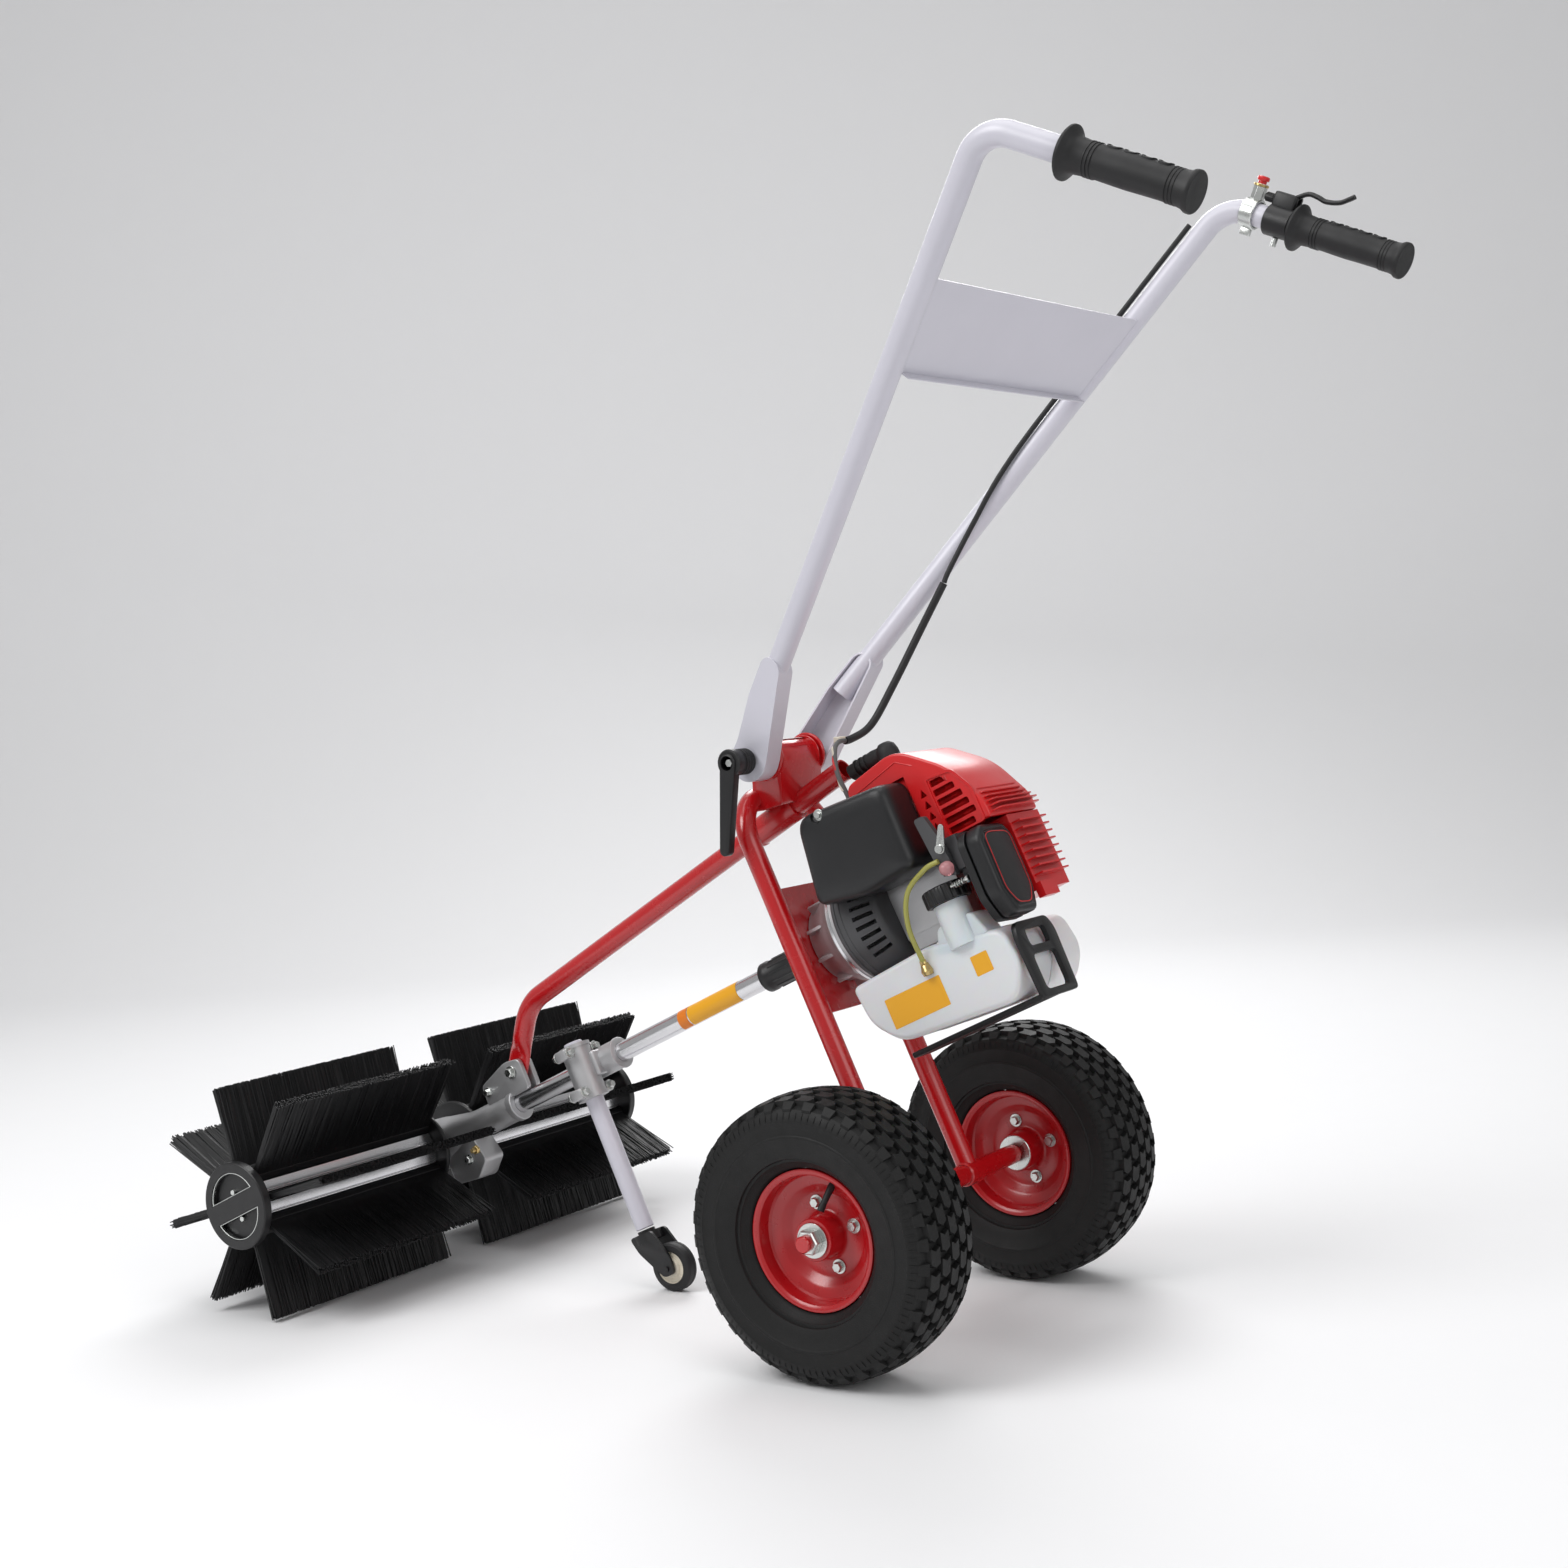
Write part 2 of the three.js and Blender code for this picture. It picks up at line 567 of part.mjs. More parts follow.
function casterFork() {
  const top = STEM.bottom + 14;
  const shape = rounded([
    [POST.along - 18, top], [POST.along + 20, top], [CASTER_A + 12, CASTER_U + 12],
    [CASTER_A + 9, CASTER_U - 9], [CASTER_A - 9, CASTER_U - 9], [POST.along - 12, top - 22],
  ], 6);
  const plates = [12.5, -16.5].map((x) => slab(shape, x, x + 4));
  const crown = rod("z", top - 12, top, 19, 0, POST.along, 16);
  const tip = rod("z", top - 0.5, top + 4, 12, 0, POST.along, 20);
  const axle = rod("x", -19, 19, 3.6, CASTER_A, CASTER_U, 12);
  const bridge = block(-16, 16, POST.along - 14, POST.along + 16, top - 13, top - 4);
  const wheelRoom = rod("x", -12, 12, CASTER.radius + 2, CASTER_A, CASTER_U, 24);
  const body = cut(join(...plates, crown, tip, bridge), wheelRoom);
  const bore = rod("z", STEM.bottom - 2, top + 10, STEM.radius + GAP, 0, POST.along, 16);
  return cut(join(body, axle), bore).translate(POST.x, 0, 0);
}

function casterWheel() {
  const w = CASTER.width / 2;
  const r = CASTER.radius;
  const profile = [[4, -w], [12, -w], [14, -w + 2], [r - 6, -w + 2], [r, -w + 6]];
  const other = profile.map(([radius, s]) => [radius, -s]).reverse();
  return turned("x", [...profile, ...other], 20).translate(POST.x, CASTER_A, CASTER_U);
}

add(line, "clamp_body", CAST, clampBody());
add(line, "clamp_cap", CAST, clampCap());
add(line, "caster_post", GREY_PAINT, casterPost());
add(line, "caster_fork", BLACK_PLASTIC, casterFork());
add(line, "caster_wheel", RUBBER, casterWheel());

// ---------------------------------------------------------------- engine
function clutchHousing() {
  const front = LEG_PLANE + 2.5 + GAP;
  const outer = [[6, front], [50, front], [52, front + 12], [60, 8], [66, 26], [70, 30], [70, 38]];
  return turned("y", [...outer, [62, 38], [56, 20], [43, -6], [6, -6]], 20);
}

function fanCase() {
  const outer = [[66, 38.3], [73, 38.3], [74, 62], [70, 80], [62, 98], [40, 102]];
  const shell = turned("y", [...outer, [14, 102], [14, 97], [56, 94], [66, 78]], 24);
  const slots = Array.from({ length: 7 }, (_, i) => (
    block(20, 90, 66, 92, -2.6, 2.6).rotateY(THREE.MathUtils.degToRad(-24 + 10 * i))
  ));
  return cut(shell, ...slots);
}

function flywheel() {
  const shoes = [[0, 5], [34.5, 5], [34.5, 22], [10, 22], [10, 46]];
  const body = turned("y", [...shoes, [58, 46], [60, 50], [60, 54], [12, 54], [12, 60], [7.7, 60], [7.7, 168], [0, 168]], 18);
  const vanes = Array.from({ length: 8 }, (_, i) => (
    block(22, 58, 53, 72, -1.2, 1.2).rotateY((2 * Math.PI * i) / 8)
  ));
  return join(body, ...vanes);
}

const CYLINDER_A = 160;

function crankcase() {
  const outline = rounded([[-32, -46], [32, -46], [35, 20], [28, 39], [-28, 39], [-35, 20]], 8);
  const body = sheet(outline, 102.3, 200);
  const feet = [-34, 22].map((x) => block(x, x + 12, 112, 190, -58, -40));
  const port = block(20, 34, 186, 208, 6, 34);
  const intake = block(20, 70, 202, 213.7, 6, 34);
  return cut(join(body, ...feet, port, intake), rod("y", 95, 172, 8.2, 0, 0, 16));
}

function cylinder() {
  const fins = Array.from({ length: 5 }, (_, i) => {
    const low = 54 + 16 * i;
    return [[27, low], [39, low + 0.5], [39, low + 3.5], [27, low + 4]];
  }).flat();
  const geometry = turned("y", [[0, 39.3], [30, 39.3], [30, 46], [27, 46], ...fins, [24, 136], [0, 139]], 14);
  const barrel = geometry.rotateX(Math.PI / 2).translate(0, CYLINDER_A, 0);
  const port = block(24, 51, CYLINDER_A - 16, CYLINDER_A + 16, 64, 98);
  return join(barrel, port);
}

const SHROUD = { left: 54, right: -58, front: 112, rear: 286, bottom: 42 };

// The side outline of the shroud, moved in by a margin for its hollow.
function shroudOutline(margin) {
  const { front, rear, bottom } = SHROUD;
  const low = margin > 0 ? bottom - 10 : bottom;
  return rounded([
    [front + margin, low], [front + 6 + margin, 154 - margin], [200, 166 - margin],
    [258 - margin, 118 - margin], [rear - margin, 62], [rear - margin, low],
  ], 7);
}

function shroudVents() {
  const { left } = SHROUD;
  const triangles = Array.from({ length: 4 }, (_, i) => {
    const low = 56 + 14 * i;
    const points = [[209, low], [219, low], [214, low + 10]].map(([a, u]) => new THREE.Vector2(a, u));
    return slab(new THREE.Shape(points), left - 8, left + 5);
  });
  const slots = [266, 272, 268, 264, 258, 248].map((end, i) => (
    block(left - 8, left + 5, 228, end, 44 + 12 * i, 52 + 12 * i)
  ));
  return [...triangles, ...slots];
}

function engineShroud() {
  const { left, right, rear } = SHROUD;
  const shell = slab(shroudOutline(0), right, left, 5);
  const room = slab(shroudOutline(3.5), right + 3.5, left - 3.5);
  const comb = Array.from({ length: 6 }, (_, i) => {
    const end = rear + 14 - 8 * Math.max(0, i - 1);
    return block(-48, 46, end - 34, end, 50 + 9.5 * i, 52 + 9.5 * i);
  });
  const mufflerRoom = block(30, 60, 100, 199, 30, 132);
  const plugHole = rod("z", 120, 180, 12.5, 0, CYLINDER_A, 16);
  return cut(join(shell, ...comb), room, ...shroudVents(), mufflerRoom, plugHole);
}

const fanRoom = () => rod("y", 20, 112, 75.5, 0, 0, 28); // what the fan case needs clear round it

function mufflerCover() {
  const outline = rounded([[46, 34], [66, 146], [198, 130], [196, 24], [120, 18]], 10);
  const inner = rounded([[49.5, 37], [69, 142], [194.5, 126.5], [192.5, 27.5], [121, 21.5]], 8);
  return cut(slab(outline, 55, 108, 6), slab(inner, 50, 104), fanRoom());
}

function muffler() {
  const box = slab(rounded([[74, 44], [80, 128], [184, 118], [182, 40]], 10), 51.3, 92);
  return cut(box, rod("x", 40, 70, 9, CYLINDER_A, 81, 16), fanRoom());
}

function sparkPlugBoot() {
  const cap = rod("z", 156, 184, 11, 0, CYLINDER_A, 16);
  const plug = rod("z", 139.3, 160, 7.5, 0, CYLINDER_A, 12);
  const elbow = rod("y", CYLINDER_A - 58, CYLINDER_A, 9.5, 0, 178, 16, 11);
  return join(cap, plug, elbow);
}

const PRIMER = { a: 226, u: 6, radius: 9 };

function carburettor() {
  const flange = block(36, 84, 214, 222, 0, 42);
  const body = block(40, 78, 221, 246, 0, 40);
  const throat = rod("y", 245, 252, 16, 58, 18, 20);
  const bowl = rod("z", -16, 1, 10.5, 58, 236, 16);
  const bracket = slab(rounded([[214, 2], [234, -6], [230, 44], [222, 74], [208, 74]], 4), 80, 88);
  const primerWell = rod("x", 84.6, 95, PRIMER.radius + 0.4, PRIMER.a, PRIMER.u, 14);
  return cut(join(flange, body, throat, bowl, bracket), primerWell);
}

const CLEANER = { x: 58, front: 252.3, plate: 262, rear: 284 };

function cleanerOutline(margin) {
  const w = 39 - margin;
  const points = [[-w, 20], [-w + 12, 34 - margin], [w - 14, 36 - margin], [w - 2, 22], [w, -44], [w - 14, -74 + margin], [-w + 14, -76 + margin], [-w + 1, -46]];
  return rounded(points.map(([x, u]) => [x + CLEANER.x, u]), 6);
}

function cleanerBase() {
  return cut(sheet(cleanerOutline(0), CLEANER.front, CLEANER.plate), rod("y", 240, 270, 11, 58, 18, 20));
}

function cleanerCover() {
  const shell = sheet(cleanerOutline(0), CLEANER.plate + GAP, CLEANER.rear, 4);
  const room = sheet(cleanerOutline(3.5), CLEANER.plate - 2, CLEANER.rear - 4);
  return cut(shell, room);
}

function primerBulb() {
  const { a, u, radius } = PRIMER;
  return turned("x", [[0, 88.4], [radius, 88.4], [radius, 91], [7.5, 96], [4, 99.5], [0, 101]], 14).translate(0, a, u);
}

const STARTER = { left: 16, right: -60, front: 204, rear: 284 };

function starterHousing() {
  const { left, right, front, rear } = STARTER;
  const outer = block(right, left, front, rear, -54, 41);
  const room = block(right + 3, left - 3, front - 5, rear - 3, -51, 38);
  const tab = block(left - 34, left, rear - 4, rear + 6, -64, -46);
  const fins = Array.from({ length: 8 }, (_, i) => {
    const low = -38 + 9.5 * i;
    return block(right + 8, left - 4, rear - 2, rear + 12, low, low + 2);
  });
  return cut(join(outer, tab, ...fins), room, rod("x", right - 5, right + 8, 4, 224, 12, 12));
}

function starterGrip() {
  const handle = rod("x", -70, -66, 8, 224, 12, 12);
  const cord = rod("x", -67, -50, 2.2, 224, 12, 8);
  const bar = rod("y", 206, 242, 6.5, -74, 12, 12);
  return join(handle, cord, bar);
}

const TANK = { left: 76, right: -76 };
const NECK = { radius: 21, x: 64, a: 196 };

function fuelTank() {
  const outline = rounded([[28, -68], [34, -118], [66, -152], [232, -164], [258, -128], [250, -80], [150, -62]], 14);
  const body = slab(outline, TANK.right, TANK.left, 8);
  const neck = rod("z", -80, -27, NECK.radius, NECK.x, NECK.a, 20);
  const shoulder = slab(rounded([[158, -80], [170, -48], [222, -48], [234, -80]], 8), 38, 74);
  return cut(join(body, neck, shoulder), fanRoom());
}

function fuelCap() {
  const cap = rod("z", -26.6, -6, 26, NECK.x, NECK.a, 16);
  return cut(cap, rod("z", -30, -12, NECK.radius + 0.6, NECK.x, NECK.a, 20));
}

function tankGuard() {
  const plate = sheet(rounded([[-10, -174], [72, -174], [76, -96], [68, -81], [-4, -81], [-14, -96]], 7), 260, 267);
  const windows = [[8, 54, -112, -92], [4, 58, -165, -122]].map(([x0, x1, low, high]) => (
    block(x0, x1, 255, 272, low, high)
  ));
  const rail = block(10, 52, 56, 264, -173, -166);
  return cut(join(plate, rail), ...windows);
}

function fuelLine() {
  const corners = [V(92, 220, 18), V(95, 200, 16), V(98, 168, 0), V(96, 150, -36), V(80, 140, -84)];
  const route = smoothRoute(corners, 12);
  return pipe(route, 3.2, 0, 8);
}

function chokeLever() {
  const blade = slab(strap([[228, 30, 6], [240, 52, 3.5]]), 88.4, 91);
  const pin = rod("x", 90, 95, 5, 228, 30, 12);
  return join(blade, pin);
}

add(line, "clutch_housing", CAST, clutchHousing());
add(line, "fan_case", DARK_CAST, fanCase());
add(line, "flywheel", CAST, flywheel());
add(line, "crankcase", CAST, crankcase());
add(line, "cylinder", CAST, cylinder());
add(line, "engine_shroud", RED_PLASTIC, engineShroud());
add(line, "muffler_cover", BLACK_PLASTIC, mufflerCover());
add(line, "muffler", ZINC, muffler());
add(line, "spark_plug_boot", RUBBER, sparkPlugBoot());
add(line, "carburettor", DARK_CAST, carburettor());
add(line, "air_cleaner_base", BLACK_PLASTIC, cleanerBase());
add(line, "air_cleaner_cover", BLACK_PLASTIC, cleanerCover());
add(line, "starter_housing", RED_PLASTIC, starterHousing());
add(line, "starter_grip", BLACK_PLASTIC, starterGrip());
add(line, "fuel_tank", WHITE_PLASTIC, fuelTank());
add(line, "fuel_cap", BLACK_PLASTIC, fuelCap());
add(line, "tank_guard", BLACK_PLASTIC, tankGuard());
add(line, "fuel_line", FUEL_HOSE, fuelLine());
add(line, "choke_lever", ZINC, chokeLever());
add(line, "primer_bulb", FUEL_HOSE, primerBulb());

// ---------------------------------------------------------------- handle
const foot = V(...HANDLE.foot);
const corner = V(...HANDLE.corner);
const end = V(...HANDLE.end);
const rise = corner.clone().sub(foot).normalize(); // up the handle tube
const riseSide = Math.atan2(rise.z, rise.y); // its slope in side view
const lean = rise.x / Math.hypot(rise.y, rise.z); // its spread for each millimetre of side-view length
const reach = end.clone().sub(corner).normalize(); // along the grip

// A point of the grip line, by its distance from the bend.
const gripPoint = (distance) => corner.clone().addScaledVector(reach, distance);

// Moves a piece built along +Y from the origin onto the grip line.
function onGripLine(geometry, distance) {
  const turn = new THREE.Quaternion().setFromUnitVectors(V(0, 1, 0), reach);
  const at = gripPoint(distance);
  return geometry.applyQuaternion(turn).translate(at.x, at.y, at.z);
}

// The handle tube's centre line, run past both ends by the given length.
function handleRoute(past = 0) {
  const start = foot.clone().addScaledVector(rise, -past);
  return bentRoute([start, corner, gripPoint(GRIP.start + GRIP.length - 6 + past)], HANDLE_BEND, 5);
}

function grip() {
  const { length, radius, flange } = GRIP;
  const bore = HANDLE.tube + GAP + 0.3;
  const outer = [
    [bore, 0], [flange, 0], [flange, 4], [radius + 2, 12], [radius, 30], [radius, length - 12],
    [radius + 4, length - 6], [radius + 4, length - 1], [radius, length], [0, length], [0, length - 4], [bore, length - 4],
  ];
  return onGripLine(turned("y", outer, 16), GRIP.start);
}

const CHANNEL = { inner: 51.5, outer: 80.6, wall: 2.6, knee: 12, grasp: 46 };

// The folded channel welded round the tube's lower end, which turns on the pivot bolt.
function channel() {
  const alongTube = (distance) => [
    foot.y + distance * Math.cos(riseSide),
    foot.z + distance * Math.sin(riseSide),
  ];
  const circles = (trim) => [
    [PIVOT.y, PIVOT.z, 26 - trim],
    [...alongTube(0), 15.6 - trim],
    [...alongTube(CHANNEL.grasp), 15.6 - trim],
  ];
  const { inner, outer, wall, knee } = CHANNEL;
  const section = cut(
    slab(strap(circles(0)), inner, outer),
    slab(strap(circles(wall)), inner - 5, outer - wall),
  );
  // below the knee the channel stands upright; above it, it spreads with the tube
  const footHeight = (foot.y - PIVOT.y) * Math.cos(riseSide) + (foot.z - PIVOT.z) * Math.sin(riseSide);
  const keep = (from, to) => (
    block(0, 200, from, to, -90, 90).rotateX(riseSide).translate(0, PIVOT.y, PIVOT.z)
  );
  const lower = common(section, keep(-100, knee + 2));
  const upper = common(section, keep(knee, footHeight + CHANNEL.grasp));
  upper.translate(0, -PIVOT.y, -PIVOT.z).rotateX(-riseSide);
  upper.applyMatrix4(new THREE.Matrix4().set(1, lean, 0, -lean * knee, 0, 1, 0, 0, 0, 0, 1, 0, 0, 0, 0, 1));
  upper.rotateX(riseSide).translate(0, PIVOT.y, PIVOT.z);
  return join(lower, upper);
}

function handleTube() {
  const tube = pipe(handleRoute(), HANDLE.tube, 0, 12);
  const bore = pipe(handleRoute(5), HANDLE.tube - HANDLE.wall, 0, 12);
  const boltHole = rod("x", 40, 90, PIVOT.bolt + 0.4, PIVOT.y, PIVOT.z);
  return cut(join(tube, channel()), bore, boltHole);
}

const PLATE = { low: 454, high: 567, below: 8, inset: 11 };

// The sheet between the tubes, with its lower edge folded under.
function crossPlate() {
  const { low, high, below, inset } = PLATE;
  const half = (distance) => foot.x + lean * distance - inset;
  const outline = [[-half(low), low], [half(low), low], [half(high), high], [-half(high), high]];
  const shape = new THREE.Shape(outline.map(([x, distance]) => new THREE.Vector2(x, distance)));
  const face = new THREE.ExtrudeGeometry(shape, { depth: 2, bevelEnabled: false }).translate(0, 0, -below - 1);
  const lip = block(-half(low), half(low), low, low + 2, -below - 12, -below);
  const plate = join(face, lip).rotateX(riseSide).translate(0, foot.y, foot.z);
  const tube = pipe(handleRoute(), HANDLE.tube + GAP + 0.2, 0, 12);
  return cut(plate, tube, mirrored(tube));
}

function pivotBolt() {
  const head = rod("x", -90, -82, 12, PIVOT.y, PIVOT.z, 6);
  return join(head, rod("x", -85, 104, PIVOT.bolt, PIVOT.y, PIVOT.z, 16));
}

function clampLever() {
  const { y, z } = PIVOT;
  const hub = rod("x", 83, 122, 15.5, y, z, 24);
  const arm = slab(strap([[y, z, 11], [y - 12, z - 106, 7]]), 110, 126, 3);
  return cut(join(hub, arm), rod("x", 60, 105, PIVOT.bolt + 0.4, y, z, 16));
}

addPair(sweeper, "handle_tube", GREY_PAINT, handleTube());
addPair(sweeper, "grip", RUBBER, grip());
add(sweeper, "cross_plate", GREY_PAINT, crossPlate());
add(sweeper, "pivot_bolt", ZINC, pivotBolt());
add(sweeper, "clamp_lever", BLACK_PLASTIC, clampLever());

// ---------------------------------------------------------------- right-hand controls
const PERCH = { start: 62, end: 96, pivot: 24 };

// A piece of the right-hand grip, built in grip-line axes and mirrored across.
const onRight = (geometry, distance) => mirrored(onGripLine(geometry, distance));

function leverPerch() {
  const middle = (PERCH.start + PERCH.end) / 2;
  const clamp = rod("y", PERCH.start - middle, PERCH.end - middle, 19, 0, 0, 20);
  const housing = block(-9, 11, PERCH.start - middle, PERCH.end - middle - 3, 10, 34);
  const adjuster = rod("y", PERCH.start - middle - 14, PERCH.start - middle + 1, 5, 0, 24, 12);
  const bore = rod("y", -60, 60, HANDLE.tube + GAP + 0.2, 0, 0, 12);
  const slot = block(-3.4, 5.4, -6, 40, 19, 40);
  const screw = rod("z", -30, -15, 4, 0, 0, 8);
  return onRight(cut(join(clamp, housing, adjuster, screw), bore, slot), middle);
}

function throttleLever() {
  const middle = (PERCH.start + PERCH.end) / 2;
  const bends = [[4, 28, 4.6], [20, 40, 4], [46, 37, 4], [62, 40, 4], [79, 52, 4.5]];
  const runs = bends.slice(1).map((bend, i) => slab(strap([bends[i], bend], 12), -2.8, 4.8));
  return onRight(join(...runs), middle);
}

const SWITCH = { distance: 38, height: 20 };

function switchBody() {
  const saddle = rod("y", -9, 9, 18.5, 0, 0, 20);
  const post = rod("z", 12, 16 + SWITCH.height, 8.5, 0, 0, 6);
  const bore = rod("y", -60, 60, HANDLE.tube + 1.4, 0, 0, 12);
  const well = rod("z", SWITCH.height, 60, 5.6, 0, 0, 16);
  return onRight(cut(join(saddle, post), bore, well), SWITCH.distance);
}

function killButton() {
  const stem = rod("z", SWITCH.height + 4, 16 + SWITCH.height + 4, 5.2, 0, 0, 16);
  const head = rod("z", 16 + SWITCH.height + 3.4, 16 + SWITCH.height + 9, 7.5, 0, 0, 16);
  return onRight(join(stem, head), SWITCH.distance);
}

// The throttle cable lies along the right tube and ends where its sleeve leaves the tube.
const CABLE = { radius: 3.4, offset: 19 };
const SLEEVE = { radius: 5, top: V(-120, -14, 899), down: V(0.3, -0.3, -0.9).normalize() };

function throttleCable() {
  const front = V(0, -rise.z, rise.y).normalize();
  const inward = V().crossVectors(front, rise);
  const beside = (distance, frontShare) => {
    const inShare = Math.sqrt(1 - frontShare * frontShare);
    const point = foot.clone().addScaledVector(rise, distance);
    point.addScaledVector(front, CABLE.offset * frontShare);
    point.addScaledVector(inward, CABLE.offset * inShare);
    return point.multiply(V(-1, 1, 1));
  };
  const alongTube = [[715, 0.85], [620, 0.8], [500, 0.7], [400, 0.6], [350, 0.4], [312, 0.1], [278, -0.25], [250, -0.5]];
  const corners = alongTube.map(([distance, share]) => beside(distance, share));
  const last = SLEEVE.top.clone().addScaledVector(SLEEVE.down, -14);
  return pipe(smoothRoute([...corners, last, SLEEVE.top], 30), CABLE.radius, 0, 8);
}

function cableSleeve() {
  const start = SLEEVE.top.clone().addScaledVector(SLEEVE.down, 1);
  const belowTube = [V(-108, -42, 846), V(-80, -72, 775), V(-56, -92, 728), V(-30, -106, 712)];
  const overEngine = [V(-4, -107, 710), V(20, -98, 700), V(35, -86, 674), V(34, -72, 643)];
  return pipe(smoothRoute([start, ...belowTube, ...overEngine], 22), SLEEVE.radius, 0, 8);
}

add(sweeper, "lever_perch", BLACK_PLASTIC, leverPerch());
add(sweeper, "throttle_lever", BLACK_PLASTIC, throttleLever());
add(sweeper, "switch_body", ZINC, switchBody());
add(sweeper, "kill_button", RED_PLASTIC, killButton());
add(sweeper, "throttle_cable", RUBBER, throttleCable());
add(sweeper, "cable_sleeve", RUBBER, cableSleeve());

// The origin is the middle of the ground under the whole machine.
const size = new THREE.Box3().setFromObject(sweeper, true);
const machine = new THREE.Group();
sweeper.position.y = -(size.min.y + size.max.y) / 2;
sweeper.position.x = -(size.min.x + size.max.x) / 2;
machine.add(sweeper);

export default machine;
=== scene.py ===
"""The looks of a walk-behind power sweeper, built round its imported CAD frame.

Shapes are drawn in millimetres in one of two frames and placed in metres:
MACHINE has its origin on the ground under the wheel axle, and LINE has its local Y up the
drive tube and its local Z square to it.
"""

import random
from math import atan2, cos, hypot, pi, radians, sin, sqrt, tan

import bmesh
import bpy
from mathutils import Matrix, Vector


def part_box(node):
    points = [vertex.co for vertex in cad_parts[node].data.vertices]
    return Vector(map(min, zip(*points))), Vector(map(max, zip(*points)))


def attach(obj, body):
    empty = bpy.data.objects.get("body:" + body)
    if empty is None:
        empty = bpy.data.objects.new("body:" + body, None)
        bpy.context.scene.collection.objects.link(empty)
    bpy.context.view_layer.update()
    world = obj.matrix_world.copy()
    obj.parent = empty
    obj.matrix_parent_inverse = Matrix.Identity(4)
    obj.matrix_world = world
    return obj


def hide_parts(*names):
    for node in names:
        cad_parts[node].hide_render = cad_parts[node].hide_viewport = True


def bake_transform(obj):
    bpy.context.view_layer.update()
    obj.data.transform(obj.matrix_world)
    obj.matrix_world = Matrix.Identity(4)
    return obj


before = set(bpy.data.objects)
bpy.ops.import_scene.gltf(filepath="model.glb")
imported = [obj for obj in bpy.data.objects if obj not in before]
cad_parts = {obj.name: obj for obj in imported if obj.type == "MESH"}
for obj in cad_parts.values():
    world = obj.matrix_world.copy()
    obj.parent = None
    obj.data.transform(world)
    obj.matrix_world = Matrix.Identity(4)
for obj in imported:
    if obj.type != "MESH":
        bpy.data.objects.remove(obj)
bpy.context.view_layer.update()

# ------------------------------------------------------------------ driving dimensions, mm
MM = 0.001
SLOPE = radians(23.7)  # the drive tube's rise
AXLE_Z = 165
TRACK = 231  # a wheel's middle from the machine's middle
TYRE_R = 165
BRUSH_TO_FRAME = 786.5
BRUSH_R = 154.5
BRUSH_IN, BRUSH_OUT = 38, 364
CORE_R = 37
STRIPS = 8
BRUSH_PHASE = radians(16)
TUBE_R = 13
HANDLE_R = 14
PIVOT = (-185.5, 694)
FOOT, CORNER, END = Vector((84, -152, 767)), Vector((296, 306, 1335)), Vector((286, 528, 1233))
HANDLE_BEND = 45
GRIP_START, GRIP_LENGTH = 100, 146

X, Y, Z = Vector((1, 0, 0)), Vector((0, 1, 0)), Vector((0, 0, 1))


def middle(node):
    low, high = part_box(node)
    return (low + high) / 2


# ------------------------------------------------------------------ frames
axle = middle("axle_beam")
MACHINE = Matrix.Translation((0, axle.y, 0)) @ Matrix.Scale(MM, 4)
hub = middle("end_disc_left")
LINE = (
    Matrix.Translation((0, hub.y, hub.z))
    @ Matrix.Rotation(SLOPE, 4, "X")
    @ Matrix.Translation((0, BRUSH_TO_FRAME * MM, 0))
    @ Matrix.Scale(MM, 4)
)
TO_MACHINE = MACHINE.inverted() @ LINE  # LINE coordinates as MACHINE coordinates
BRUSH_A = -BRUSH_TO_FRAME
AXLE_POINT = TO_MACHINE.inverted() @ Vector((0, 0, AXLE_Z))
LEG_A = AXLE_POINT.y
LEG_X, LEG_TOP = 82, 203


# ------------------------------------------------------------------ mesh tools
def turns(count, phase=0.0):
    """Angles spread evenly round a circle."""
    return [phase + 2 * pi * k / count for k in range(count)]


def join(*parts):
    """Several meshes as one."""
    whole = bmesh.new()
    for part in parts:
        mesh = bpy.data.meshes.new("part")
        part.to_mesh(mesh)
        whole.from_mesh(mesh)
        bpy.data.meshes.remove(mesh)
    return whole


def moved(bm, matrix):
    bm.transform(matrix)
    if matrix.determinant() < 0:
        bmesh.ops.reverse_faces(bm, faces=bm.faces)
    return bm


def shifted(bm, x, y, z):
    return moved(bm, Matrix.Translation((x, y, z)))


def mirrored(bm):
    return moved(bm, Matrix.Scale(-1, 4, X))


def turned(bm, angle, axis="X"):
    return moved(bm, Matrix.Rotation(angle, 4, axis))


def spun(start, end, count, radius):
    """Points on an arc of a circle, ends included."""
    angles = (start + (end - start) * k / count for k in range(count + 1))
    return [Vector((radius * cos(t), radius * sin(t))) for t in angles]


def facing(bm):
    bmesh.ops.recalc_face_normals(bm, faces=bm.faces)
    return bm


def skin(rings, closed=False):
    """Faces between successive rings of points, each ring a closed loop."""
    bm = bmesh.new()
    loops = [[bm.verts.new(p) for p in ring] for ring in rings]
    pairs = list(zip(loops, loops[1:])) + ([(loops[-1], loops[0])] if closed else [])
    for a, b in pairs:
        for i in range(len(a)):
            j = (i + 1) % len(a)
            bm.faces.new((a[i], a[j], b[j], b[i]))
    if not closed:
        bm.faces.new(loops[0][::-1])
        bm.faces.new(loops[-1])
    return facing(bm)


AXES = {"x": (X, Y, Z), "y": (Y, Z, X), "z": (Z, X, Y)}


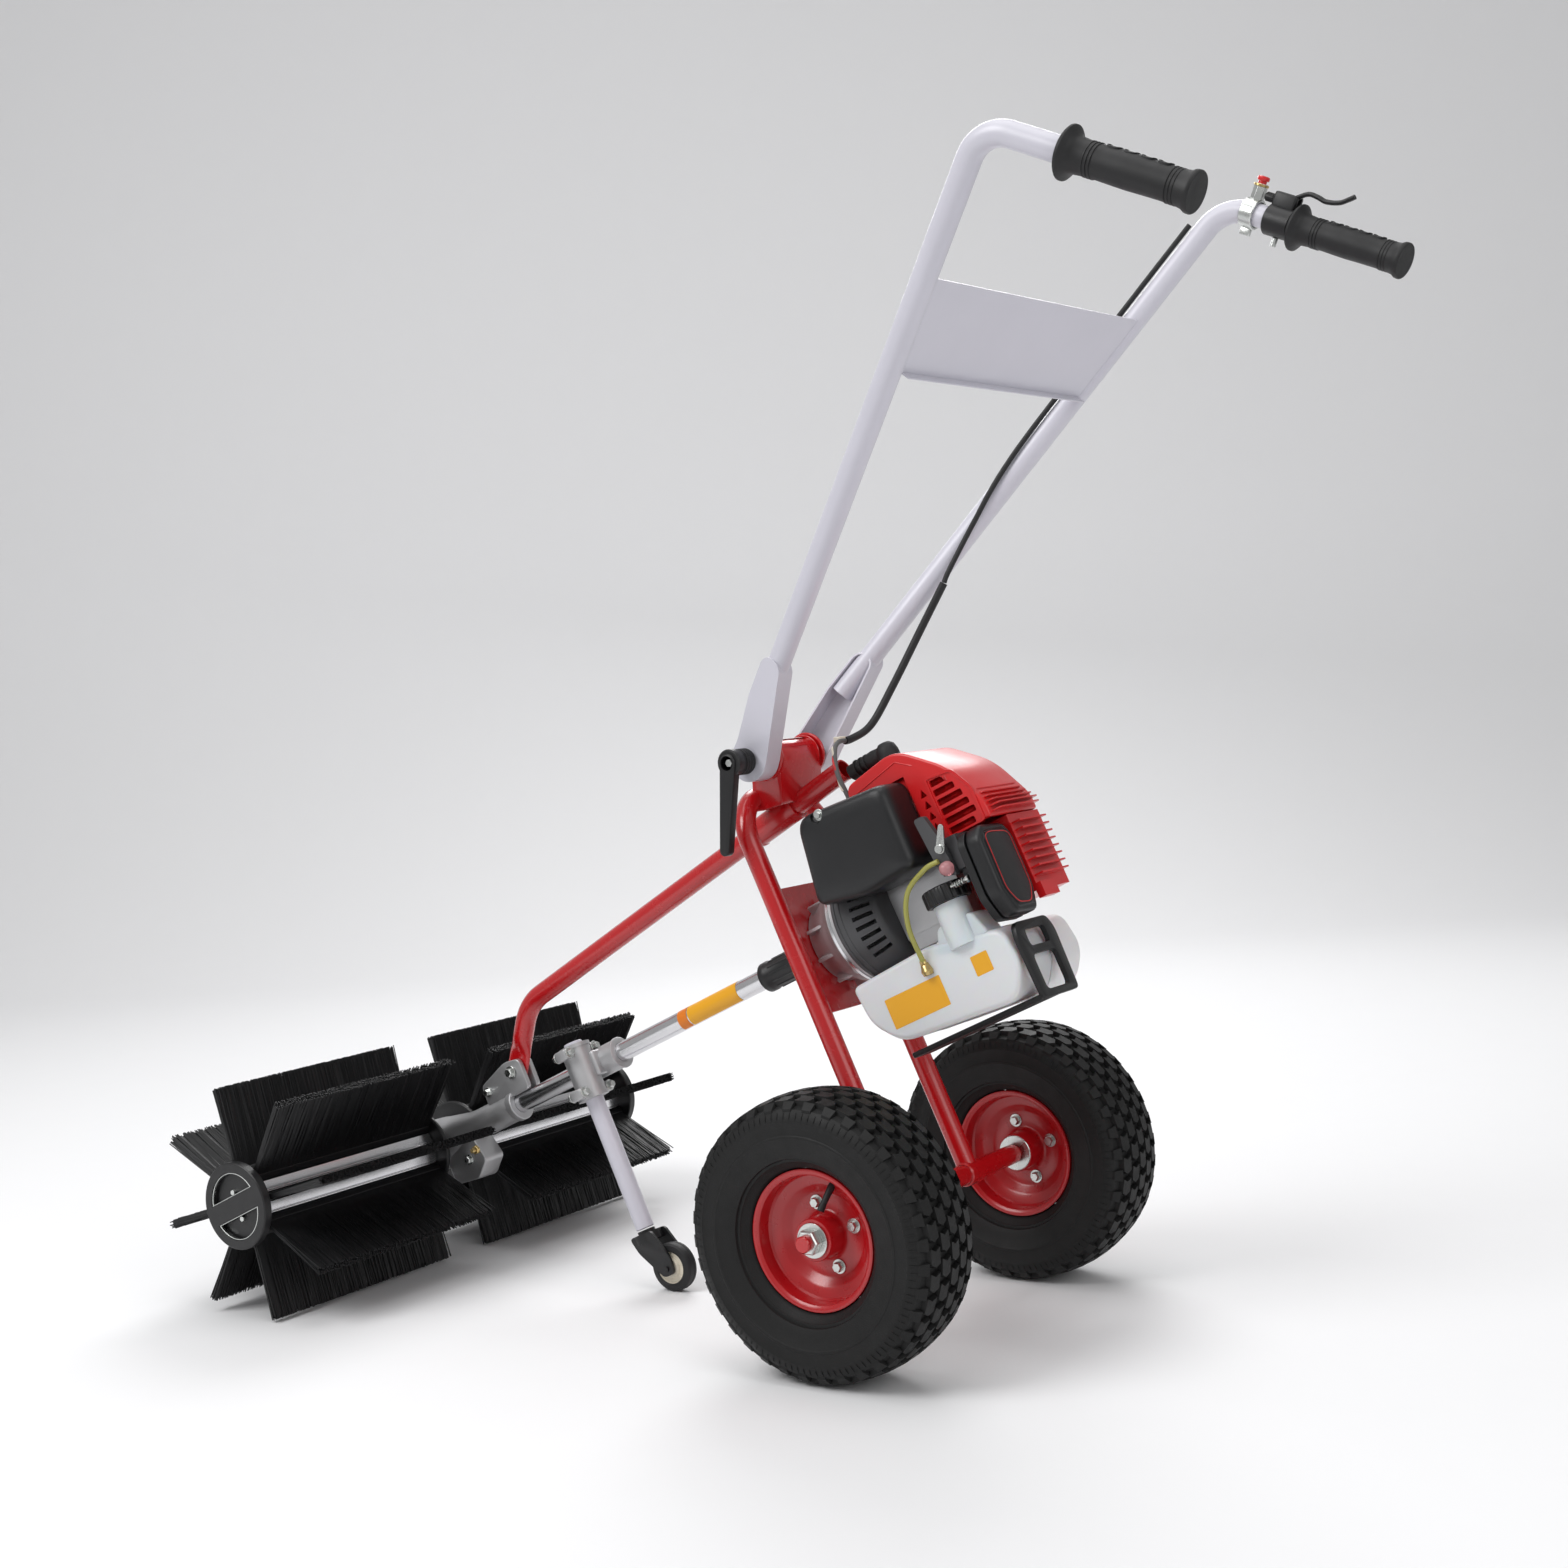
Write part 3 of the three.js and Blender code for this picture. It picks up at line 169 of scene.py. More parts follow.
def lathe(axis, profile, steps=48, p=0, q=0):
    """A profile of (radius, station) turned about an axis through (p, q) of the next two axes.
    A profile that starts and ends off the axis is closed into a ring."""
    along, first, second = AXES[axis]
    centre = first * p + second * q
    bm = bmesh.new()
    columns = []
    for radius, station in profile:
        if radius == 0:
            columns.append([bm.verts.new(centre + along * station)] * steps)
            continue
        columns.append([
            bm.verts.new(centre + along * station + first * (radius * cos(t)) + second * (radius * sin(t)))
            for t in turns(steps)
        ])
    on_axis = profile[0][0] == 0 and profile[-1][0] == 0
    pairs = list(zip(columns, columns[1:]))
    if not on_axis:
        pairs.append((columns[-1], columns[0]))
    for a, b in pairs:
        for i in range(steps):
            j = (i + 1) % steps
            corners = []
            for v in (a[i], a[j], b[j], b[i]):
                if v not in corners:
                    corners.append(v)
            if len(corners) > 2:
                bm.faces.new(corners)
    return facing(bm)


def rod(axis, start, end, radius, p=0, q=0, steps=32, edge=0.0):
    """A round bar, with chamfered ends if it has an edge."""
    profile = [(0, start), (radius, start), (radius, end), (0, end)]
    if edge:
        profile[1:3] = [
            (radius - edge, start), (radius, start + edge), (radius, end - edge), (radius - edge, end),
        ]
    return lathe(axis, profile, steps, p, q)


def block(x0, x1, y0, y1, z0, z1):
    ring = [(x0, y0), (x1, y0), (x1, y1), (x0, y1)]
    return skin([[(x, y, z) for x, y in ring] for z in (z0, z1)])


def rounded(outline, radius, steps=5):
    """A 2-D outline with its corners rounded. A corner may give its own radius as a third number."""
    points = []
    count = len(outline)
    for i, corner in enumerate(outline):
        r = corner[2] if len(corner) > 2 else radius
        here = Vector(corner[:2])
        before = (Vector(outline[i - 1][:2]) - here).normalized()
        after = (Vector(outline[(i + 1) % count][:2]) - here).normalized()
        for k in range(steps + 1):
            t = k / steps
            start, end = here + before * r, here + after * r
            points.append(start * (1 - t) ** 2 + here * (2 * t * (1 - t)) + end * t ** 2)
    return points


def circle(radius, steps=32, x=0, y=0, phase=0.0):
    return [Vector((x + radius * cos(t), y + radius * sin(t))) for t in turns(steps, phase)]


def strap(circles, steps=32):
    """The taut outline round a set of circles, each (x, y, radius)."""
    points = sorted(
        ((round(p.x, 4), round(p.y, 4)) for x, y, r in circles for p in circle(r, steps, x, y))
    )

    def half(ordered):
        chain = []
        for p in ordered:
            while len(chain) > 1:
                (ax, ay), (bx, by) = chain[-2:]
                if (bx - ax) * (p[1] - by) - (by - ay) * (p[0] - bx) > 1e-3:
                    break
                chain.pop()
            chain.append(p)
        return chain[:-1]

    return [Vector(p) for p in half(points) + half(points[::-1])]


def slab(outline, x0, x1):
    """An outline in (Y, Z), extruded along X."""
    return skin([[(x, p[0], p[1]) for p in outline] for x in (x0, x1)])


def sheet(outline, y0, y1):
    """An outline in (X, Z), extruded along Y."""
    return skin([[(p[0], y, p[1]) for p in outline] for y in (y0, y1)])


def plate(outline, z0, z1):
    """An outline in (X, Y), extruded along Z."""
    return skin([[(p[0], p[1], z) for p in outline] for z in (z0, z1)])


def softened(bm, width, segments=3, angle=30.0):
    """Rounds every edge sharper than the angle."""
    limit = radians(angle)
    edges = [e for e in bm.edges if len(e.link_faces) == 2 and e.calc_face_angle(0) > limit]
    bmesh.ops.bevel(
        bm, geom=edges, offset=width, segments=segments, profile=0.5, affect="EDGES", clamp_overlap=True
    )
    return bm


def frames(points):
    """A tangent, side and up at each point, carried along without twisting."""
    tangents = []
    for i in range(len(points)):
        before, after = points[max(i - 1, 0)], points[min(i + 1, len(points) - 1)]
        tangents.append((after - before).normalized())
    side = tangents[0].orthogonal().normalized()
    found = []
    for tangent in tangents:
        side = (side - tangent * side.dot(tangent)).normalized()
        found.append((tangent, side, tangent.cross(side)))
    return found


def sweep(points, radius, sides=24, inner=0.0):
    """A round tube along points; radius may be a function of the share of the way along."""
    points = [Vector(p) for p in points]
    size = radius if callable(radius) else (lambda share: radius)

    def rings(scale):
        made = []
        for i, (point, (_, side, up)) in enumerate(zip(points, frames(points))):
            r = size(i / (len(points) - 1)) + scale
            made.append([
                point + side * (r * cos(t)) + up * (r * sin(t)) for t in turns(sides)
            ])
        return made

    if inner == 0:
        return skin(rings(0))
    outside, inside = rings(0), rings(-inner)
    return skin(outside + inside[::-1], closed=True)


def bent(corners, radius, steps=10):
    """Straight runs with a round bend at each inner corner."""
    corners = [Vector(c) for c in corners]
    points = [corners[0]]
    for before, here, after in zip(corners, corners[1:], corners[2:]):
        arriving, leaving = (here - before).normalized(), (after - here).normalized()
        angle = arriving.angle(leaving)
        start = here - arriving * (radius * tan(angle / 2))
        side = (leaving - arriving * cos(angle)).normalized()
        for k in range(steps + 1):
            turn = angle * k / steps
            points.append(start + arriving * (radius * sin(turn)) + side * (radius * (1 - cos(turn))))
    return points + [corners[-1]]


def spline(corners, steps=8):
    """A smooth curve through the corners (Catmull-Rom)."""
    corners = [Vector(c) for c in corners]
    padded = [corners[0] * 2 - corners[1], *corners, corners[-1] * 2 - corners[-2]]
    points = []
    for a, b, c, d in zip(padded, padded[1:], padded[2:], padded[3:]):
        for k in range(steps):
            t = k / steps
            points.append(
                (
                    b * 2 + (c - a) * t + (
                        a * 2 - b * 5 + c * 4 - d
                    ) * t**2 + (b * 3 - a - c * 3 + d) * t**3
                ) / 2
            )
    return points + [corners[-1]]


def _object(bm, name="tool"):
    mesh = bpy.data.meshes.new(name)
    bm.to_mesh(mesh)
    obj = bpy.data.objects.new(name, mesh)
    bpy.context.scene.collection.objects.link(obj)
    return obj


def _boolean(bm, tool, operation):
    body, cutter = _object(bm), _object(tool)
    modifier = body.modifiers.new("boolean", "BOOLEAN")
    modifier.operation = operation
    modifier.object = cutter
    modifier.solver = "EXACT"
    modifier.use_self = True
    bpy.context.view_layer.update()
    evaluated = body.evaluated_get(bpy.context.evaluated_depsgraph_get())
    result = bmesh.new()
    result.from_mesh(evaluated.to_mesh())
    evaluated.to_mesh_clear()
    for spare in (body, cutter):
        mesh = spare.data
        bpy.data.objects.remove(spare)
        bpy.data.meshes.remove(mesh)
    return result


def cut(bm, *tools):
    return _boolean(bm, join(*tools), "DIFFERENCE")


def keep(bm, tool):
    return _boolean(bm, tool, "INTERSECT")


# ------------------------------------------------------------------ materials
SLOTS = {}


def material(
    name, slot, color, roughness=0.5, metallic=0.0, grain=(900, 0.05), mottle=0.15, spread=0.12, **extra,
):
    """A Principled surface whose colour, roughness and bump vary with noise.
    grain is the bump's scale per metre and strength, mottle darkens the colour in patches, and
    spread widens the roughness. The slot is noted for the pieces that wear the material."""
    SLOTS[name] = slot
    made = bpy.data.materials.new(name)
    made.use_nodes = True
    nodes, links = made.node_tree.nodes, made.node_tree.links
    shader = nodes["Principled BSDF"]
    shader.inputs["Metallic"].default_value = metallic
    for key, value in extra.items():
        shader.inputs[key.replace("_", " ").title().replace("Ior", "IOR")].default_value = value
    place = nodes.new("ShaderNodeTexCoord")

    def noise(scale, detail=4):
        node = nodes.new("ShaderNodeTexNoise")
        node.inputs["Scale"].default_value = scale
        node.inputs["Detail"].default_value = detail
        links.new(place.outputs["Object"], node.inputs["Vector"])
        return node.outputs["Fac"]

    patches = noise(14, 6)
    shade = nodes.new("ShaderNodeMix")
    shade.data_type = "RGBA"
    shade.inputs["A"].default_value = (*color, 1)
    shade.inputs["B"].default_value = (*[c * (1 - mottle) for c in color], 1)
    links.new(patches, shade.inputs["Factor"])
    links.new(shade.outputs["Result"], shader.inputs["Base Color"])
    rough = nodes.new("ShaderNodeMapRange")
    rough.inputs["To Min"].default_value = max(roughness - spread, 0.03)
    rough.inputs["To Max"].default_value = min(roughness + spread, 1.0)
    links.new(noise(60, 5), rough.inputs["Value"])
    links.new(rough.outputs["Result"], shader.inputs["Roughness"])
    bump = nodes.new("ShaderNodeBump")
    bump.inputs["Strength"].default_value = grain[1]
    bump.inputs["Distance"].default_value = 0.001
    links.new(noise(grain[0], 3), bump.inputs["Height"])
    links.new(bump.outputs["Normal"], shader.inputs["Normal"])
    return made


RED = material(
    "red_enamel", "red_paint", (0.50, 0.004, 0.007), 0.26, 0.0, (260, 0.05), 0.12, 0.08, coat_weight=0.6,
    coat_roughness=0.12,
)
RED_RIM = material(
    "red_rim_enamel", "red_rim", (0.46, 0.004, 0.008), 0.3, 0.0, (240, 0.06), 0.15, 0.1, coat_weight=0.4,
    coat_roughness=0.2,
)
RED_PLASTIC = material(
    "red_moulding", "red_plastic", (0.62, 0.008, 0.010), 0.34, 0.0, (1500, 0.04), 0.08, 0.06,
    coat_weight=0.3, coat_roughness=0.2,
)
GREY = material(
    "pale_powder_coat", "grey_paint", (0.62, 0.61, 0.68), 0.34, 0.0, (1300, 0.08), 0.07, 0.08,
    coat_weight=0.2, coat_roughness=0.3,
)
BLACK = material(
    "black_moulding", "black_plastic", (0.008, 0.008, 0.009), 0.42, 0.0, (2200, 0.12), 0.25, 0.1,
)
SATIN = material(
    "dark_satin_moulding", "dark_plastic", (0.007, 0.0072, 0.0085), 0.40, 0.0, (2600, 0.14), 0.15, 0.07,
)
RUBBER = material("black_rubber", "rubber", (0.008, 0.008, 0.009), 0.55, 0.0, (1600, 0.2), 0.3, 0.12)
TYRE = material(
    "tyre_rubber", "tyre", (0.006, 0.006, 0.006), 0.58, 0.0, (700, 0.3), 0.45, 0.12,
    specular_ior_level=0.35,
)
BRISTLE = material("black_nylon", "bristle", (0.006, 0.006, 0.007), 0.5, 0.0, (3000, 0.1), 0.3, 0.15)
ALUMINIUM = material(
    "drawn_aluminium", "aluminium", (0.74, 0.74, 0.76), 0.22, 1.0, (700, 0.012), 0.08, 0.06,
)
CAST = material("cast_aluminium", "cast", (0.56, 0.56, 0.57), 0.48, 0.9, (700, 0.35), 0.2, 0.12)
DARK_CAST = material("dark_cast_alloy", "dark_cast", (0.10, 0.10, 0.105), 0.5, 0.5, (800, 0.3), 0.2, 0.1)
ZINC = material("zinc_plate", "zinc", (0.70, 0.72, 0.70), 0.28, 1.0, (500, 0.08), 0.18, 0.12)
BRASS = material("brass", "zinc", (0.62, 0.46, 0.20), 0.3, 1.0, (500, 0.06), 0.15, 0.1)
TANK = material(
    "translucent_tank", "white_plastic", (0.90, 0.90, 0.92), 0.34, 0.0, (500, 0.05), 0.05, 0.06,
    transmission_weight=0.22, subsurface_weight=0.25,
)
HOSE = material(
    "fuel_hose", "hose", (0.52, 0.50, 0.12), 0.25, 0.0, (600, 0.04), 0.15, 0.05, transmission_weight=0.35,
)
PRIMER = material(
    "primer_bulb", "hose", (0.75, 0.36, 0.38), 0.22, 0.0, (600, 0.03), 0.1, 0.05, transmission_weight=0.45,
)
LABEL_YELLOW = material("yellow_label", "hose", (0.84, 0.40, 0.010), 0.35, 0.0, (900, 0.02), 0.04, 0.05)
LABEL_ORANGE = material(
    "orange_label", "red_plastic", (0.75, 0.20, 0.01), 0.35, 0.0, (900, 0.02), 0.04, 0.05,
)
CREAM = material("cream_plastic", "white_plastic", (0.78, 0.72, 0.60), 0.4, 0.0, (900, 0.04), 0.1, 0.06)
WIRE_RED = material("red_wire", "red_plastic", (0.6, 0.02, 0.02), 0.4, 0.0, (900, 0.04), 0.1, 0.06)
WIRE_GREY = material("grey_braid", "rubber", (0.16, 0.16, 0.16), 0.6, 0.2, (2400, 0.5), 0.4, 0.1)


# ------------------------------------------------------------------ placing pieces
def piece(name, bm, place, look, *nodes, body="chassis", slot=None, edge=0.0, sharp=32.0):
    """Places a mesh, finishes its edges, ties it to a CAD body and hides the nodes it stands for.
    The slot argument is not used."""
    if len(bm.faces) < 4:
        raise ValueError(f"{name} has no surface")
    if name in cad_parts:
        name += "_look"
    bm.transform(place)
    obj = _object(bm, name)
    obj.data.name = name
    obj.data.materials.append(look)
    obj.data.shade_smooth()
    obj.data.set_sharp_from_angle(angle=radians(sharp))
    if edge > 0:
        rim = obj.modifiers.new("edges", "BEVEL")
        rim.width = edge * MM
        rim.segments = 2
        rim.limit_method = "ANGLE"
        rim.angle_limit = radians(35)
        rim.harden_normals = True
        rim.use_clamp_overlap = True
    if body:  # a blended piece rides on none
        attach(obj, body)
    slot or SLOTS[look.name]
    if nodes:
        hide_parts(*nodes)
    return obj


def pair(name, build, place, look, *stems, body="chassis", edge=0.0, sharp=32.0):
    """A left piece and its mirror image, standing for the _left and _right nodes."""
    for side, flip in (("left", False), ("right", True)):
        bm = mirrored(build()) if flip else build()
        stands_for = [f"{stem}_{side}" for stem in stems]
        rides = body.replace("*", side)
        piece(f"{name}_{side}", bm, place, look, *stands_for, body=rides, edge=edge, sharp=sharp)


def refined(node, look, body="chassis", edge=0.8):
    """A finer copy of a CAD node: flat faces merged, edges rounded."""
    bm = bmesh.new()
    bm.from_mesh(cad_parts[node].data)
    bmesh.ops.remove_doubles(bm, verts=bm.verts, dist=1e-6)
    bmesh.ops.dissolve_limit(bm, angle_limit=radians(1.0), verts=bm.verts, edges=bm.edges)
    return piece(node, bm, Matrix.Identity(4), look, node, body=body, edge=edge)


def hex_head(axis, at, width, height, p=0, q=0, washer=0.0):
    """A bolt head with a domed top, and a washer under it if it has one."""
    direction = 1 if height > 0 else -1
    start = at + direction * 1.4 if washer else at
    points = circle(width / 2, 6)
    along, first, second = AXES[axis]
    centre = first * p + second * q
    levels = [(1.0, start), (1.0, start + height * 0.8), (0.86, start + height)]
    rings = [[centre + along * s + (first * v.x + second * v.y) * k for v in points] for k, s in levels]
    head = skin(rings)
    if washer:
        head = join(head, rod(axis, min(at, start), max(at, start), washer, p, q, 32, 0.3))
    return head


# ------------------------------------------------------------------ wheels
def crown(station):
    """The tread's radius at a distance from the tyre's middle."""
    s = abs(station)
    return TYRE_R - 3.0 * (s / 34) ** 2 if s < 46 else TYRE_R - 5.5 - (s - 46) * 1.1


def tyre():
    side = [
        (81.8, 31), (82.5, 36), (85, 40), (90, 44), (92, 47.5), (95, 48), (96, 51), (104, 54.5), (118, 57),
        (119.5, 57.9), (122, 57.9), (123, 57.2), (136, 57), (138, 57.8), (140, 57.4), (146, 55),
        (151, 51.5),
        (153.5, 46), (155.5, 36), (157.5, 22), (158.5, 8), (158.8, 0),
    ]
    inner = [(152, 0), (150, 30), (143, 48), (100, 38), (81.8, 26)]
    outline = side + [(r, -s) for r, s in reversed(side[:-1])]
    outline += [(r, -s) for r, s in reversed(inner)] + inner[1:]
    carcass = lathe("x", outline, 120)
    lugs = bmesh.new()

    def lug(corners, depth=6.0):
        """One tread block from its corners, each a station across the tyre and an angle round it."""
        low, high = [], []
        mid_s = sum(c[0] for c in corners) / len(corners)
        mid_a = sum(c[1] for c in corners) / len(corners)
        for station, angle in corners:
            for ring, shrink, drop in ((low, 1.0, depth), (high, 0.88, 0.0)):
                s, a = mid_s + (station - mid_s) * shrink, mid_a + (angle - mid_a) * shrink
                r = crown(s) - drop
                ring.append(lugs.verts.new((s, r * cos(a), r * sin(a))))
        for i in range(len(low)):
            j = (i + 1) % len(low)
            lugs.faces.new((low[i], low[j], high[j], high[i]))
        lugs.faces.new(high)
        lugs.faces.new(low[::-1])

    count, rows = 36, (-36, -18, 0, 18, 36)
    pitch = 2 * pi / count
    for i in range(count):
        for row, station in enumerate(rows):
            a = (i + 0.5 * (row % 2)) * pitch
            key = pitch * 0.16
            w, wide = pitch * 0.36, 8.2
            lug([
                (station - wide, a - w), (station, a - w - key), (station + wide, a - w),
                (station + wide, a + w), (station, a + w - key), (station - wide, a + w),
            ])
        for sign in (-1, 1):
            a = (i + 0.5) * pitch
            w = pitch * 0.30
            lug(
                [
                    (sign * 45.4, a - w), (sign * 53.5, a - w * 0.8), (sign * 53.5, a + w * 0.8),
                    (sign * 45.4, a + w),
                ],
                7.5,
            )
    for i in range(count * 3):
        a = i * pitch / 3
        for sign in (-1, 1):
            rib = [(sign * 55.2, 142), (sign * 57.9, 137), (sign * 57.2, 143), (sign * 54.2, 148.5)]
            ends = []
            for side in (-0.6, 0.6):
                turn = a + side * MM * 9
                ends.append([lugs.verts.new((s, r * cos(turn), r * sin(turn))) for s, r in rib])
            for k in range(4):
                n = (k + 1) % 4
                lugs.faces.new((ends[0][k], ends[0][n], ends[1][n], ends[1][k]))
            lugs.faces.new(ends[0][::-1])
            lugs.faces.new(ends[1])
    facing(lugs)
    return shifted(join(carcass, lugs), TRACK, 0, AXLE_Z)


def rim():
    seat = [(81, 37.5), (81.4, 36), (81.4, 33), (79, 31.5), (77, 30), (75.8, 14), (70, 11), (62, 10)]
    dish = [
        (79.5, 38), (77, 37.5), (74, 35), (73, 30), (72.2, 19), (70, 16.5), (60, 14), (57, 12), (50, 5.5),
        (47, 4), (30, 4), (27, 5.5), (25, 9), (24.5, 32.5), (23.5, 34),
    ]
    far_seat = [(r, -s) for r, s in reversed(seat)]
    far_dish = [(r, -s) for r, s in dish]
    profile = seat + far_seat + far_dish + [(11, -34), (10, -33), (10, 33), (11, 34)] + dish[::-1]
    disc = lathe("x", profile, 96)
    seam = lathe("x", [(62.6, 0.8), (62.6, -0.8), (61, -0.8), (61, 0.8)], 96)
    return shifted(join(disc, seam), TRACK, 0, AXLE_Z)


def rim_bolts():
    bolts = []
    for k in range(4):
        angle = radians(20 + 90 * k)
        y, z = 38 * cos(angle), 38 * sin(angle)
        bolts += [hex_head("x", 4 * side, 12, 6 * side, y, z, 8.5) for side in (1, -1)]
    return shifted(join(*bolts), TRACK, 0, AXLE_Z)


def valve():
    """The valve leans from the tyre's seat towards the hub."""
    stem = sweep(
        [(10, 16, 62), (16, 15, 56), (23, 12, 45), (27, 10, 38)], lambda share: 4.6 - 1.2 * share, 20,
    )
    cap = sweep([(26, 10.5, 40), (30, 9, 33)], 4.2, 20)
    return shifted(join(stem, cap), TRACK, 0, AXLE_Z)


pair("tyre", tyre, MACHINE, TYRE, "tyre", body="wheel_*", sharp=28)
pair("rim", rim, MACHINE, RED_RIM, "rim", body="wheel_*", sharp=34)
pair("rim_bolts", rim_bolts, MACHINE, ZINC, body="wheel_*", edge=0.3)
pair("tyre_valve", valve, MACHINE, RUBBER, body="wheel_*")


def bearing_ring():
    ring = lathe("x", [(11, -35.2), (22, -35.2), (22.8, -34.2), (22.8, -33), (11, -33)], 64)
    return shifted(ring, TRACK, 0, AXLE_Z)


pair("hub_bearing", bearing_ring, MACHINE, ZINC, body="wheel_*", edge=0.3)


def axle_nut():
    start = TRACK + 34.3
    washer = lathe(
        "x", [(10, start), (19.4, start), (20, start + 0.6), (20, start + 2.6), (10, start + 2.6)], 64, 0,
        AXLE_Z,
    )
    faces = [
        [(start + s, 15 * k * c.x, AXLE_Z + 15 * k * c.y) for c in circle(1, 6)]
        for s, k in ((2.7, 1), (13, 1), (15, 0.88))
    ]
    return join(washer, skin([[Vector(p) for p in ring] for ring in faces]))


pair("axle_nut", axle_nut, MACHINE, ZINC, "axle_nut", edge=0.4)

beam = [(0, -288), (8.4, -288), (9.6, -286.5), (9.6, -191), (12.5, -190)]
piece(
    "axle_beam", lathe("x", beam + [(r, -s) for r, s in reversed(beam)], 48, 0, AXLE_Z),
    MACHINE, RED, "axle_beam",
)


# ------------------------------------------------------------------ frame
def leg_route():
    foot = AXLE_POINT.z + 10
    corners = [(-LEG_X, foot), (-LEG_X, LEG_TOP), (LEG_X, LEG_TOP), (LEG_X, foot)]
    return bent([(x, LEG_A, z) for x, z in corners], 58, 14)


piece("frame_legs", sweep(leg_route(), 13, 32), LINE, RED, "frame_legs")
weld = [(13, -16), (15, -14), (15.5, 0), (15, 14), (13, 16), (12, 0)]
welds = [shifted(lathe("x", weld, 40, AXLE_POINT.y, AXLE_POINT.z), x, 0, 0) for x in (-LEG_X, LEG_X)]
piece("leg_welds", join(*welds), LINE, RED)


def engine_plate():
    outline = rounded([(-68.5, -82), (68.5, -82), (68.5, 82), (-68.5, 82)], 8)
    board = cut(sheet(outline, LEG_A - 2.5, LEG_A + 2.5), rod("y", LEG_A - 9, LEG_A + 9, 22))
    heads = [hex_head("y", LEG_A - 2.5, 13, -6, z, x, 9) for x in (-48, 48) for z in (-48, 48)]
    return board, join(*heads)


board, heads = engine_plate()
piece("engine_plate", board, LINE, RED, "engine_plate", edge=0.8)
piece("engine_plate_bolts", heads, LINE, ZINC, edge=0.3)

ARM_TOP, ARM_BEND = Vector((0, -98, 676)), Vector((0, -641, 364))
arm_way = (ARM_TOP - ARM_BEND).normalized()


def arm_point(y):
    return ARM_BEND + arm_way * ((y - ARM_BEND.y) / arm_way.y)


EYE = TO_MACHINE @ Vector((0, -592, 43))


def support_arm():
    """The arm's tube, pinched flat over its last stretch to take the bolt."""
    down = (EYE - ARM_BEND).normalized()
    points = bent([ARM_TOP, ARM_BEND, EYE + down * 15], 70, 16)
    straight = points[-2]
    extra = [straight.lerp(points[-1], k / 12) for k in range(1, 12)]
    points = points[:-1] + extra + points[-1:]
    rings = []
    start = (points[-1] - straight).length
    for point, (tangent, _, _) in zip(points, frames(points)):
        up = tangent.cross(X).normalized()
        left = (points[-1] - point).length
        flat = min(max((start * 0.75 - left) / (start * 0.3), 0), 1) if left < start else 0
        flat = flat * flat * (3 - 2 * flat)
        half_wide, half_thick = 14 + 4 * flat, 14 - 9 * flat
        end_round = sqrt(max(1 - max(0, 1 - left / 15) ** 2, 0.02)) if left < 15 else 1
        rings.append([
            point + X * (half_thick * cos(t)) + up * (half_wide * end_round * sin(t))
            for t in turns(32)
        ])
    bore = rod("y", -40, 40, 11.8, 0, 0, 32)
    turn = Y.rotation_difference(arm_way).to_matrix().to_4x4()
    bore = moved(bore, Matrix.Translation(ARM_TOP) @ turn)
    return cut(skin(rings), bore)


piece("support_arm", support_arm(), MACHINE, RED, "support_arm", sharp=40)
piece(
    "arm_bolt",
    join(hex_head("x", 14.2, 13, 6, EYE.y, EYE.z, 9), hex_head("x", -14.2, 13, -6, EYE.y, EYE.z, 9)),
    MACHINE, ZINC, edge=0.3,
)


def pivot_head():
    y, z = PIVOT
    outline = rounded(
        [
            (y - 22, z - 66), (y + 22, z - 56), (y + 22, z + 4, 16), (y + 8, z + 22, 12),
            (y - 8, z + 22, 12), (y - 22, z + 4, 16),
        ],
        3,
    )
    body = softened(slab(outline, -44, 44), 2.0, 2, 60)
    rings = [
        lathe("x", [(18, x), (26, x), (27.4, x + 1.4), (27.4, x + 3.6), (26, x + 5), (18, x + 5)], 56, y, z)
        for x in (-49, 44)
    ]
    lips = [
        lathe("x", [(18, x), (24, x), (24.6, x + 1), (24, x + 2), (18, x + 2)], 56, y, z)
        for x in (-40, 38)
    ]
    turn = Y.rotation_difference(arm_way).to_matrix().to_4x4()
    length = (arm_point(-172) - arm_point(-236)).length
    sleeve = lathe(
        "y",
        [
            (14.2, 0), (17, 0), (18.6, 1.5), (18.6, 5), (17.8, 6), (17.8, length - 2), (16.5, length),
            (14.2, length),
        ],
        48,
    )
    sleeve = moved(sleeve, Matrix.Translation(arm_point(-236)) @ turn)
    return join(body, *rings, *lips, sleeve)


piece("pivot_head", pivot_head(), MACHINE, RED, "pivot_head", sharp=36)


# ------------------------------------------------------------------ drive line
piece("drive_tube", rod("y", -690, -32, TUBE_R, steps=56, edge=0.6), LINE, ALUMINIUM, "drive_tube")


def tube_boot():
    profile = [(13.2, -136), (18.2, -136), (19.4, -134.6), (19.6, -126), (18.4, -124), (18.4, -80)]
    profile += [
        (20, -76), (20, -70), (18.8, -68), (24, -56), (28.5, -42), (31, -34), (31, -24), (13.2, -24),
    ]
    ribs = [
        rod("y", -118, -82, 1.2, 18.4 * cos(t), 18.4 * sin(t), 8)
        for t in (pi * k / 6 for k in range(12))
    ]
    return join(lathe("y", profile, 64), *ribs)


piece("tube_boot", tube_boot(), LINE, BLACK, "tube_boot", slot="rubber", sharp=40)


